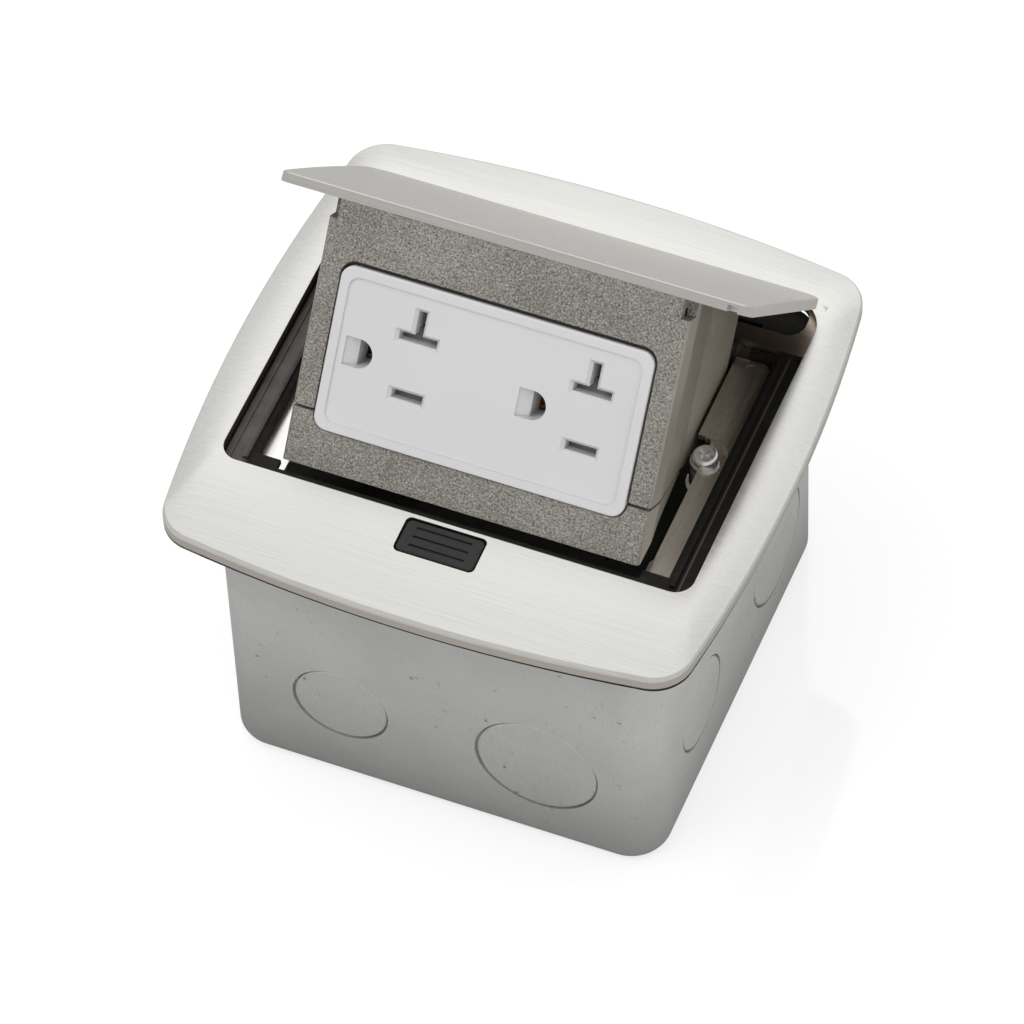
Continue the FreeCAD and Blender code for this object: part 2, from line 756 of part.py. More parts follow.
def make_bezel():
    above = block(-50, 50, seam_height + seam_gap / 2, 60, -80, 20)
    body = housing_shell().common(above)
    pads = [post(s * strap_screw_x, 0, -housing_panel - 0.01, -housing_panel + 0.5, 1.6) for s in (-1, 1)]
    body = joined([body] + pads)
    cuts = [window_tool()]
    for side in (-1, 1):
        x0, x1 = sorted((side * notch_half_x, side * 45))
        cuts.append(block(x0, x1, notch_height, 60, -notch_depth, 5))
        cuts.append(post(side * strap_screw_x, 0, -6, -0.9, strap_screw + running))
        cuts.append(post(side * strip_screw_x, strip_screw_y, -6, -0.9, strip_screw + running))
        cuts += rivet_bars(side)
    return on_face(body.cut(cuts)).cut(raised_flange_holes())


def arm_pin(side, y, z, gap):
    # A rivet through the arm and the housing's side, its head level with the side
    start = arm_inner - 0.8
    face = housing_waist - 0.02 * (gap == 0)
    return sunk_pin(v(side * start, y, z), x_axis * side, face - start, arm_rivet, arm_rivet_head, gap)


def rivet_bars(side):
    # The rivets' holes on the shut carriage, turned to the receptacle's face
    bars = []
    for y, z in arm_rivet_spots:
        bar = arm_pin(side, y, z, running)
        bar.translate(v(0, -face_y, -face_z))
        bar.rotate(v(0, 0, 0), x_axis, -90 - face_lean)
        bars.append(bar)
    return bars


def raised_flange_holes():
    holes = [post(x, y, lid_under - 12, lid_under + 1, lid_boss + clear) for x, y in lid_screw_places()]
    return raised(Part.Compound(holes))


def make_strip():
    below = block(-50, 50, -60, seam_height - seam_gap / 2, -80, 20)
    body = housing_shell().common(below)
    tabs = []
    for side in (-1, 1):
        x0, x1 = sorted((side * (strip_screw_x - strip_tab), side * (strip_screw_x + strip_tab)))
        low = -housing_panel - 1.6
        tabs.append(block(x0, x1, -26, strip_screw_y + 2.2, low, -housing_panel - 0.02))
        tabs.append(block(x0, x1, -26, seam_height - seam_gap / 2, low, -housing_panel + 0.3))
    body = joined([body] + tabs)
    cuts = [window_tool()]
    cuts += [post(s * strip_screw_x, strip_screw_y, -9, 0, strip_screw + running) for s in (-1, 1)]
    return on_face(body.cut(cuts))


def make_strip_screws():
    screws = []
    for side in (-1, 1):
        screw = pan_screw(strip_screw, 1.15, 0.8, 2.6)
        screw.rotate(v(0, 0, 0), x_axis, 180)
        screw.translate(v(side * strip_screw_x, strip_screw_y, -housing_panel - 1.62))
        screws.append(screw)
    return on_face(Part.Compound(screws))


def make_arm(side):
    x0 = min(side * arm_inner, side * (arm_inner + arm_sheet))
    arm = slab_of(
        [(pivot_y + 5, pivot_z + 5), (pivot_y - 5, pivot_z + 5), (24.5, pivot_z + 0.8),
         (13.0, pivot_z + 10.6),
         (-4, pivot_z + 10.6), (-4, pivot_z + 0.6), (9, pivot_z - 3.4), (24, pivot_z - 7),
         (pivot_y - 5, pivot_z - 5), (pivot_y + 5, pivot_z - 5)],
        [4.9, 3, 5, 3, 3, 3, 4, 5, 3, 4.9], x0, x0 + arm_sheet)
    cuts = [rod(-50, 50, pivot_y, pivot_z, pin_radius + 1.4 + 0.02)]
    cuts += [rod(-50, 50, y, z, arm_rivet + running) for y, z in arm_rivet_spots]
    return raised(arm.cut(cuts))


def make_arm_rivets():
    rivets = []
    for y, z in arm_rivet_spots:
        tail = rod(arm_inner - 0.8, arm_inner - 0.02, y, z, arm_rivet + 0.7)
        rivet = joined([arm_pin(1, y, z, 0), tail])
        rivets += [rivet, mirrored(rivet)]
    return raised(Part.Compound(rivets))


def outlet_centres():
    return [blade_shift - outlet_pitch / 2, blade_shift + outlet_pitch / 2]


def ground_hole(x):
    # Square on the side away from the blades and round on the other, over a ramp that leads the pin in
    top = ring_proud - ring_step
    low = -9
    square = block(x - ground_half, x, -ground_half, ground_half, low, 5)
    outline = post(x, 0, low, 5, ground_half).fuse(square)
    edge = x - ground_half - 1
    path = [v(edge, -9, 5), v(x + 9, -9, 5), v(x + 9, -9, low), v(x - ground_ramp, -9, low),
            v(x - ground_ramp, -9, top - 2.4), v(edge, -9, top - 0.1), v(edge, -9, 5)]
    side = Part.Face(Part.makePolygon(path)).extrude(v(0, 18, 0))
    return outline.common(side)


def slot(x0, x1, y0, y1):
    # A blade slot with bevelled edges at the face
    top = ring_proud - ring_step
    wires = []
    for grow, z in ((slot_bevel, top + 0.02), (0, top - slot_bevel_depth)):
        a0, a1, b0, b1 = x0 - grow, x1 + grow, y0 - grow, y1 + grow
        ring = [v(a0, b0, z), v(a1, b0, z), v(a1, b1, z), v(a0, b1, z), v(a0, b0, z)]
        wires.append(Part.makePolygon(ring))
    return [block(x0, x1, y0, y1, -9, 5), Part.makeLoft(wires, True, True)]


def make_receptacle_face():
    body = pad(ring_half_x, -ring_half_y, ring_half_y, -housing_panel, ring_proud, ring_corner, ring_corner)
    rim = [e for e in body.Edges if e.BoundBox.ZMin > ring_proud - 0.01]
    body = body.makeFillet(0.4, rim)
    body = body.cut(pad(ring_inner_x, -ring_inner_y, ring_inner_y, ring_proud - ring_step, 5, 2.5, 2.5))
    skirt = pad(body_half_x, -body_half_y, body_half_y, -8.0, -housing_panel + 0.5, 2, 2)
    body = joined([body, skirt])
    cuts = []
    neutral = blade_gap / 2
    hot_x, hot_y = hot_slot[0] / 2, hot_slot[1] / 2
    bar_x, bar_y = neutral_slot[0] / 2, neutral_slot[1] / 2
    for x in outlet_centres():
        cuts += slot(x - hot_x, x + hot_x, -neutral - hot_y, -neutral + hot_y)
        cuts += slot(x - bar_x, x + bar_x, neutral - bar_y, neutral + bar_y)
        cuts += slot(x - bar_y, x + bar_y, neutral, neutral + neutral_leg)
        cuts.append(ground_hole(x - ground_reach))
        cuts.append(block(x - 5.6, x + 5.6, -8.5 - shutter_travel, 8.2, -9, shutter_top + 0.3))
    return on_face(body.cut(cuts))


def make_shutter(x):
    # A frame with a bar under each blade slot; it slides by the height of a bar to let the blades in
    z0 = shutter_foot
    z1 = shutter_top
    frame = block(x - 5.3, x + 5.3, -7.9, 7.9, z0, z1)
    middle = block(x - 4.5, x + 4.5, -4.9, 4.9, z0 - 1, z1 + 1)
    ramps = []
    for side in (-1, 1):
        y = side * blade_gap / 2
        ramp = slab_of([(y - 1.7, z1), (y + 1.7, z1), (y + 1.7, z1 - 1.6)], [0] * 3, x - 4.3, x + 4.3)
        ramps.append(ramp)
    return on_face(frame.cut([middle] + ramps))


def make_shutter_spring(x):
    coil = 0.9
    wire = 0.16
    length = shutter_travel + 0.2
    spring = coil_spring(coil, wire, 0.75, length)
    spring.rotate(v(0, 0, 0), x_axis, 90)
    spring.translate(v(x, -7.9 - wire - 0.02, (shutter_foot + shutter_top) / 2))
    return on_face(spring)


def make_receptacle_body():
    top = -8.02
    body = pad(body_half_x, -body_half_y, body_half_y, -body_back, top, 2, 2)
    foot = [e for e in body.Edges if e.BoundBox.ZMax < -body_back + 0.01]
    body = body.makeFillet(1.2, foot)
    cuts = []
    for side in (-1, 1):
        y0 = min(side * 3.6, side * 10.4)
        y1 = max(side * 3.6, side * 10.4)
        cuts.append(block(-24, 27.5, y0, y1, -22, top + 1))
        for x in outlet_centres():
            y0 = min(side * 13.0, side * 20)
            y1 = max(side * 13.0, side * 20)
            cuts.append(block(x - 4.6, x + 4.6, y0, y1, -21.5, -10.5))
            y0 = min(side * 10.4, side * 13.0)
            y1 = max(side * 10.4, side * 13.0)
            cuts.append(block(x - 2.2, x + 2.2, y0, y1, -18.2, -13.8))
    for x in outlet_centres():
        hole = post(x - ground_reach, 0, -23, top + 1, 3.1)
        cuts.append(hole.common(block(-29.8, 60, -9, 9, -30, 0)))
    for side in (-1, 1):
        cuts.append(post(side * strap_rivet_x, 0, -body_back - 1, -23.1, strap_rivet + running))
    cuts.append(rod(-40, -29.5, 0, device_screw_z, device_screw + running))
    return on_face(body.cut(cuts))


def make_strap():
    # A steel strap that runs down both ends of the body and across its back
    z1 = -housing_panel - 0.06
    half = strap_half_y
    end = body_half_x + 0.05
    back = -body_back - 0.05
    ear = block(end, strap_half_x, -half, half, z1 - strap_sheet, z1)
    leg = block(end, end + strap_sheet, -half, half, back - strap_sheet, z1)
    base = block(-end - strap_sheet, end + strap_sheet, -half, half, back - strap_sheet, back)
    strap = joined([ear, mirrored(ear), leg, mirrored(leg), base])
    bends = [e for e in strap.Edges if abs(e.BoundBox.XLength - 0) < 0.01 and abs(e.BoundBox.ZLength) < 0.01
             and e.BoundBox.ZMin < back - strap_sheet + 0.01 and abs(e.BoundBox.XMin) > end]
    strap = strap.makeFillet(1.2, bends)
    cuts = [post(s * strap_screw_x, 0, -9, 5, strap_screw + 0.1) for s in (-1, 1)]
    cuts += [post(s * strap_rivet_x, 0, back - 5, back + 1, strap_rivet + running) for s in (-1, 1)]
    cuts.append(rod(-50, 0, 0, device_screw_z, device_screw + running))
    return on_face(strap.cut(cuts))


def make_strap_screws():
    screws = []
    for side in (-1, 1):
        screw = pan_screw(strap_screw, 1.5, 1.0, 2.8)
        screw.rotate(v(0, 0, 0), x_axis, 180)
        screw.translate(v(side * strap_screw_x, 0, -housing_panel - 0.06 - strap_sheet - 0.02))
        screws.append(screw)
    return on_face(Part.Compound(screws))


def make_strap_rivets():
    rivets = []
    back = -body_back - 0.05 - strap_sheet
    for side in (-1, 1):
        shank = post(side * strap_rivet_x, 0, back - 0.3, -23.2, strap_rivet)
        head = post(side * strap_rivet_x, 0, back - 0.6, back - 0.02, strap_rivet + 0.9)
        rivets.append(joined([shank, head]))
    return on_face(Part.Compound(rivets))


def make_contacts(side):
    # A bus strip with a pair of spring fingers behind each blade slot
    y = side * blade_gap / 2
    outer = side * 9.9
    y0, y1 = sorted((outer, outer - side * 0.8))
    strip = block(-20.5, 27.0, y0, y1, -20.5, -14.5)
    parts = [strip]
    for x in outlet_centres():
        f0, f1 = sorted((y + side * 0.75, y + side * 1.45))
        g0, g1 = sorted((y - side * 0.75, y - side * 1.45))
        w0, w1 = sorted((outer, y - side * 1.45))
        parts.append(block(x - 2.6, x + 2.6, f0, f1, -20.5, -9.2))
        parts.append(block(x - 2.6, x + 2.6, g0, g1, -20.5, -9.2))
        parts.append(block(x - 2.6, x + 2.6, w0, w1, -21.2, -20.4))
        parts.append(block(x - 1.8, x + 1.8, *sorted((outer - side * 0.5, side * 13.0)), -17.6, -14.4))
    return on_face(joined(parts))


def make_ground_contacts():
    cups = []
    for x in outlet_centres():
        cup = post(x - ground_reach, 0, -22.6, -8.6, 2.85).common(block(-29.6, 60, -9, 9, -30, 0))
        bore = post(x - ground_reach, 0, -21.8, -8, 2.35)
        slit = block(x - ground_reach - 4, x - ground_reach + 4, -0.35, 0.35, -19, -8)
        cups.append(cup.cut([bore, slit]))
    return on_face(Part.Compound(cups))


def make_terminal_screws(side):
    screws = []
    for x in outlet_centres():
        head = Part.makeCylinder(3.8, 1.9, v(0, 0, 0), z_axis)
        rim = [e for e in head.Edges if e.BoundBox.ZMin > 1.89 and e.Closed]
        head = head.makeFillet(0.8, rim[:1])
        plate = block(-4.0, 4.0, -4.0, 4.0, -1.0, 0)
        screw = joined([head, plate])
        screw = screw.cut([block(-2.6, 2.6, -0.45, 0.45, 0.9, 3), block(-0.45, 0.45, -2.6, 2.6, 0.9, 3)])
        screw.rotate(v(0, 0, 0), x_axis, -90 * side)
        screw.translate(v(x, side * 14.1, -16))
        screws.append(screw)
    return on_face(Part.Compound(screws))


def make_receptacle_ground_screw():
    end = body_half_x + 0.05 + strap_sheet
    head = Part.makeCylinder(3.4, 1.7, v(0, 0, 0), z_axis)
    shank = Part.makeCylinder(device_screw, 2.0, v(0, 0, -1.9), z_axis)
    screw = joined([head, shank]).cut(block(-2.4, 2.4, -0.4, 0.4, 0.9, 3))
    screw.rotate(v(0, 0, 0), y_axis, -90)
    screw.translate(v(-end - 0.05, 0, device_screw_z))
    return on_face(screw)


def make_button():
    # The cap fills the hole in the plate, its flange keeps it in and its wedge drives the latch
    y0 = button_y - button_half_y
    y1 = button_y + button_half_y
    foot = plate_foot + 0.2
    cap = pad(button_half_x, y0, y1, foot, button_top, button_corner, button_corner)
    rim = [e for e in cap.Edges if e.BoundBox.ZMin > button_top - 0.01]
    cap = cap.makeFillet(0.5, rim)
    ribs = []
    for y in (button_y - 2.3, button_y, button_y + 2.3):
        ribs.append(block(-6.2, 6.2, y - 0.35, y + 0.35, button_top - 0.35, button_top + 1))
    flange = pad(button_half_x + 1.1, y0 - 0.9, y1 + 0.6, foot + 0.05, foot + 0.75, 1, 1)
    top = foot + 0.5
    foot = latch_level + 0.2
    level = latch_level + latch_sheet
    wedge = slab_of(
        [(latch_heel, top), (latch_heel, foot), (latch_ramp + (level - foot) / latch_ratio, foot),
         (latch_ramp - (top - level) / latch_ratio, top)], [0] * 4, -4, 4)
    return joined([cap, flange, wedge]).cut(ribs)


def make_latch():
    z0 = latch_level
    z1 = z0 + latch_sheet
    tongue = latch_half_x - latch_tongue
    side = [(30, latch_front), (latch_half_x, latch_front + 5), (latch_half_x, latch_tip),
            (tongue, latch_tip), (tongue, latch_back)]
    radii = [2, 2, 0, 0, 0.6]
    sheet = plate_of(side + [(-x, y) for x, y in reversed(side)], radii + radii[::-1], z0, z1)
    cuts = [block(-5, 5, latch_ramp - running, latch_heel + 1.6, z0 - 1, z1 + 1)]
    reach = latch_stop + 0.4
    for side in (-1, 1):
        x = side * latch_stop_x
        cuts.append(block(x - reach, x + reach, latch_front - 5, latch_lip, z0 - 1, z1 + 1))
        cuts.append(post(side * plate_boss_x, plate_boss_front, z0 - 1, z1 + 1, plate_boss + 3.7))
    sheet = sheet.cut(cuts)
    lips = []
    for side in (-1, 1):
        x = side * latch_stop_x
        lips.append(block(x - reach, x + reach, latch_lip, latch_lip + 0.8, z0, z0 + 2.6))
    return joined([sheet] + lips)


def make_latch_spring(side):
    wire = 0.22
    spring = coil_spring(0.95, wire, 1.2, 5.1 - 2 * wire)
    spring.rotate(v(0, 0, 0), x_axis, 90)
    spring.translate(v(side * latch_stop_x, latch_lip - 0.02 - wire, latch_level + 1.3))
    return spring


def save(name, shape):
    solids = shape.Solids
    volume = sum(s.Volume for s in solids)
    print(f"{name}: {len(solids)} solids, {volume:.0f} mm3, valid {shape.isValid()}")
    target = Part.Compound(solids) if len(solids) > 1 else solids[0]
    target.exportStep(f"parts/{name}.step")


os.makedirs("parts", exist_ok=True)
left, right = outlet_centres()
save("floor_box", make_box())
save("ground_screw", make_ground_screw())
save("cover_plate", make_cover_plate())
save("floor_seal", make_floor_seal())
save("lid_seal", make_lid_seal())
save("inner_frame", make_frame())
save("right_hinge_bracket", make_bracket())
save("left_hinge_bracket", mirrored(make_bracket()))
save("bracket_rivets", make_bracket_rivets())
save("frame_screws", make_frame_screws())
save("plate_screws", make_plate_screws())
save("pivot_pin", make_pivot_pin())
save("pin_clips", make_pin_clips())
save("right_pivot_bush", make_pivot_bush())
save("left_pivot_bush", mirrored(make_pivot_bush()))
save("right_lift_spring", lift_spring())
save("left_lift_spring", mirrored(lift_spring()))
save("lid", raised(make_lid()))
save("lid_screws", raised(make_lid_screws()))
save("bezel_frame", make_bezel())
save("lower_strip", make_strip())
save("strip_screws", make_strip_screws())
save("right_hinge_arm", make_arm(1))
save("left_hinge_arm", make_arm(-1))
save("arm_rivets", make_arm_rivets())
save("receptacle_face", make_receptacle_face())
save("receptacle_body", make_receptacle_body())
save("mounting_strap", make_strap())
save("strap_screws", make_strap_screws())
save("strap_rivets", make_strap_rivets())
save("hot_contacts", make_contacts(-1))
save("neutral_contacts", make_contacts(1))
save("ground_contacts", make_ground_contacts())
save("brass_terminal_screws", make_terminal_screws(-1))
save("silver_terminal_screws", make_terminal_screws(1))
save("receptacle_ground_screw", make_receptacle_ground_screw())
save("left_shutter", make_shutter(left))
save("right_shutter", make_shutter(right))
save("left_shutter_spring", make_shutter_spring(left))
save("right_shutter_spring", make_shutter_spring(right))
save("release_button", make_button())
save("latch_plate", make_latch())
save("left_latch_spring", make_latch_spring(-1))
save("right_latch_spring", make_latch_spring(1))
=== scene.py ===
import json
import math

import bmesh
import bpy
from mathutils import Matrix, Vector


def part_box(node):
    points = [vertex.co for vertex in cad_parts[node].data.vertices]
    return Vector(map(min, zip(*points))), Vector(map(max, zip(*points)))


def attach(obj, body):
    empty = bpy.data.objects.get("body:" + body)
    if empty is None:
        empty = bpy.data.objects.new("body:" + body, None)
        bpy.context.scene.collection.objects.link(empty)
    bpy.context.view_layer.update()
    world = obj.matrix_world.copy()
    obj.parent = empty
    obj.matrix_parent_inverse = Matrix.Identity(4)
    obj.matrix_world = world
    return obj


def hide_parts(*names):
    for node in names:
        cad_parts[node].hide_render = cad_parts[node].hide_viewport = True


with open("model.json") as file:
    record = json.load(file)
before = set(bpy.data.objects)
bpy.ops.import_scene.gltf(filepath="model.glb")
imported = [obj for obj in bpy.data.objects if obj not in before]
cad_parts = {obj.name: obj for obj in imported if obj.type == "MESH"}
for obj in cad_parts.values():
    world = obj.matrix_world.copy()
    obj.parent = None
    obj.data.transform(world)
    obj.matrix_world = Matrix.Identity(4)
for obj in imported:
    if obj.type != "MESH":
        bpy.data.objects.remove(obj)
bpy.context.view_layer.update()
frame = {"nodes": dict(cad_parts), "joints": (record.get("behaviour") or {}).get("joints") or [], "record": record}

nodes = frame["nodes"]
mm = 0.001
mergeDistance = 0.01 * mm

# the camera that the photograph was taken with, in the part's frame
photoCamera = {
    "azimuth": 24.397,
    "elevation": 52.387,
    "roll": -2.916,
    "distance": 1.549,
    "focalPixels": 7043.3,
    "originPixel": (526.93, 629.93),
    "framePixels": 1024,
    "sensor": 36.0,
    "clip": (0.05, 20),
}


def placeCamera(c):
    azimuth, elevation, roll = (math.radians(c[k]) for k in ("azimuth", "elevation", "roll"))
    right = Vector((math.cos(azimuth), math.sin(azimuth), 0))
    back = Vector((math.sin(azimuth) * math.cos(elevation), -math.cos(azimuth) * math.cos(elevation),
                   math.sin(elevation)))
    up = back.cross(right)
    turn = Matrix(((math.cos(roll), -math.sin(roll), 0), (math.sin(roll), math.cos(roll), 0), (0, 0, 1)))
    rows = turn @ Matrix((right, -up, -back))
    middle = c["framePixels"] / 2
    shift = [(p - middle) / c["focalPixels"] * c["distance"] for p in c["originPixel"]]
    centre = -(rows.transposed() @ Vector((shift[0], shift[1], c["distance"])))
    camera = bpy.data.objects.new("photoCamera", bpy.data.cameras.new("photoCamera"))
    bpy.context.scene.collection.objects.link(camera)
    camera.data.sensor_width = c["sensor"]
    camera.data.lens = c["focalPixels"] / c["framePixels"] * c["sensor"]
    camera.data.clip_start, camera.data.clip_end = c["clip"]
    axes = Matrix((rows[0], -rows[1], -rows[2])).transposed()
    camera.matrix_world = Matrix.Translation(centre) @ axes.to_4x4()
    bpy.context.scene.camera = camera


placeCamera(photoCamera)
print("camera placed")


# material helpers
def startMaterial(name, color, roughness, metallic=0.0):
    material = bpy.data.materials.new(name)
    material.use_nodes = True
    material.diffuse_color = (*color, 1)
    tree = material.node_tree
    shader = tree.nodes["Principled BSDF"]
    shader.inputs["Base Color"].default_value = (*color, 1)
    shader.inputs["Roughness"].default_value = roughness
    shader.inputs["Metallic"].default_value = metallic
    return material, tree, shader


def addNode(tree, kind, values=None, **settings):
    node = tree.nodes.new(kind)
    for key, value in settings.items():
        setattr(node, key, value)
    for key, value in (values or {}).items():
        node.inputs[key].default_value = value
    return node


def objectSpace(tree, scale=(1, 1, 1), turn=(0, 0, 0)):
    # object coordinates, scaled for a pattern
    place = addNode(tree, "ShaderNodeTexCoord")
    mapping = addNode(tree, "ShaderNodeMapping", {"Scale": scale, "Rotation": turn})
    tree.links.new(place.outputs["Object"], mapping.inputs["Vector"])
    return mapping.outputs["Vector"]


def noise(tree, vector, scale, detail=2.0, rough=0.5):
    node = addNode(tree, "ShaderNodeTexNoise", {"Scale": scale, "Detail": detail, "Roughness": rough})
    tree.links.new(vector, node.inputs["Vector"])
    return node.outputs["Fac"]


def spread(tree, value, low, high, fromLow=0.3, fromHigh=0.7):
    node = addNode(tree, "ShaderNodeMapRange", {"From Min": fromLow, "From Max": fromHigh, "To Min": low,
                                                "To Max": high})
    tree.links.new(value, node.inputs["Value"])
    return node.outputs["Result"]


def blendColors(tree, factor, first, second, mode="MIX"):
    node = addNode(tree, "ShaderNodeMix", data_type="RGBA", blend_type=mode)
    tree.links.new(factor, node.inputs["Factor"])
    for socket, value in (("A", first), ("B", second)):
        target = [s for s in node.inputs if s.name == socket and s.type == "RGBA"][0]
        if isinstance(value, tuple):
            target.default_value = (*value, 1)
        else:
            tree.links.new(value, target)
    return [s for s in node.outputs if s.type == "RGBA"][0]


def addBump(tree, shader, height, strength, distance, under=None):
    node = addNode(tree, "ShaderNodeBump", {"Strength": strength, "Distance": distance})
    tree.links.new(height, node.inputs["Height"])
    if under is not None:
        tree.links.new(under, node.inputs["Normal"])
    tree.links.new(node.outputs["Normal"], shader.inputs["Normal"])
    return node.outputs["Normal"]


def combine(tree, operation, first, second):
    node = addNode(tree, "ShaderNodeMath", operation=operation)
    for index, value in enumerate((first, second)):
        if isinstance(value, (int, float)):
            node.inputs[index].default_value = value
        else:
            tree.links.new(value, node.inputs[index])
    return node.outputs["Value"]


def threeParts(tree, output):
    place = addNode(tree, "ShaderNodeTexCoord")
    apart = addNode(tree, "ShaderNodeSeparateXYZ")
    tree.links.new(place.outputs[output], apart.inputs["Vector"])
    return apart.outputs["X"], apart.outputs["Y"], apart.outputs["Z"]


def partPlace(tree):
    # the three object coordinates, each on its own
    return threeParts(tree, "Object")


def facing(tree):
    # the three parts of the surface's own direction
    return threeParts(tree, "Normal")


def between(tree, first, second):
    # both masks at once
    return combine(tree, "MULTIPLY", first, second)


# finishes


nickel = {
    "plate": (0.765, 0.76, 0.73),
    # the lid's nickel is the plate's own, kept darker here as painted shade
    "lid": (0.66, 0.645, 0.61),
    # painted shade on the plate's rim wall, below the foot zone
    "rimShade": (0.58, 0.54, 0.485),
    # painted shade on the walls inside the opening
    "well": (0.20, 0.172, 0.14),
    # painted shade on the rear shelf, lighter and browner than the opening's
    "shelf": (0.44, 0.37, 0.30),
    # painted shade on the lid's underside
    "lidUnderShade": (0.10, 0.088, 0.072),
    "lidNormal": (0, 0.7314, 0.6820),  # of the lid's top when it stands open
    "plateRoughness": 0.34,
    "lidRoughness": 0.30,
    "fine": (30, 3300, 3300),
    "streak": (9, 1300, 1300),
    "cloud": (16, 22, 22),
    "darker": 0.91,
    "brighter": 1.06,
    "bump": 0.04 * mm,
}
# where the plate's painted shades begin and end, from clear to full or back
plateZones = {
    "foot": (79.2 * mm, 79.5 * mm),
    "top": (81.9 * mm, 82.1 * mm),
    "side": (52.92 * mm, 52.98 * mm),
    "back": (46.22 * mm, 46.28 * mm),
    "front": (-36.28 * mm, -36.22 * mm),
    "shelf": (31.0 * mm, 31.5 * mm),
}


def plateShading(tree, base, zones):
    # painted shade on the rim wall at the foot and on the walls inside the opening, with a lighter, browner
    # painted shade on the rear shelf
    x, y, z = partPlace(tree)
    edge = spread(tree, z, 1, 0, *zones["foot"])
    inside = between(tree, spread(tree, z, 1, 0, *zones["top"]),
                     spread(tree, combine(tree, "ABSOLUTE", x, 0), 1, 0, *zones["side"]))
    inside = between(tree, inside, spread(tree, y, 1, 0, *zones["back"]))
    inside = between(tree, inside, spread(tree, y, 0, 1, *zones["front"]))
    base = blendColors(tree, edge, base, nickel["rimShade"])
    base = blendColors(tree, inside, base, nickel["well"])
    onShelf = between(tree, inside, spread(tree, y, 0, 1, *zones["shelf"]))
    return blendColors(tree, onShelf, base, nickel["shelf"])


def brushedNickel(name, color, roughness, depth=1.0, plate=False, lid=False):
    # fine brush lines along X, with slower streaks and faint clouding
    material, tree, shader = startMaterial(name, color, roughness, 1.0)
    fine = noise(tree, objectSpace(tree, nickel["fine"]), 1.0, 2.0)
    streak = noise(tree, objectSpace(tree, nickel["streak"]), 1.0, 3.0, 0.6)
    cloud = noise(tree, objectSpace(tree, nickel["cloud"]), 1.0, 2.0)
    lines = combine(tree, "ADD", fine, combine(tree, "MULTIPLY", streak, 0.6))
    rough = combine(tree, "ADD", spread(tree, lines, roughness - 0.035, roughness + 0.045, 0.5, 1.1),
                    spread(tree, cloud, -0.02, 0.02))
    tree.links.new(rough, shader.inputs["Roughness"])
    dark = tuple(c * nickel["darker"] for c in color)
    bright = tuple(min(1.0, c * nickel["brighter"]) for c in color)
    base = blendColors(tree, spread(tree, lines, 0, 1, 0.5, 1.1), dark, bright)
    if plate:
        base = plateShading(tree, base, plateZones)
    if lid:
        # the side facing away from the lid's top gets painted shade
        place = addNode(tree, "ShaderNodeTexCoord")
        toTop = addNode(tree, "ShaderNodeVectorMath", {1: nickel["lidNormal"]}, operation="DOT_PRODUCT")
        tree.links.new(place.outputs["Normal"], toTop.inputs[0])
        under = spread(tree, toTop.outputs["Value"], 1, 0, -0.8, -0.5)
        base = blendColors(tree, under, base, nickel["lidUnderShade"])
    tree.links.new(base, shader.inputs["Base Color"])
    addBump(tree, shader, lines, 0.6, nickel["bump"] * depth)
    return material


casting = {
    "low": (0.475, 0.48, 0.455), "high": (0.60, 0.605, 0.58), "flow": (0.67, 0.675, 0.65),
    # foot and footHeight: painted shade, multiplied in darker towards the bottom
    "pit": (0.13, 0.13, 0.115), "foot": (0.48, 0.485, 0.48), "footHeight": 62.0 * mm, "roughness": 0.5,
    "blotchScale": 55, "grainScale": 2100, "pitScale": 260.0, "raggedScale": 900, "patchScale": 42,
    "blotchBump": 0.7 * mm, "grainBump": 0.25 * mm,
}


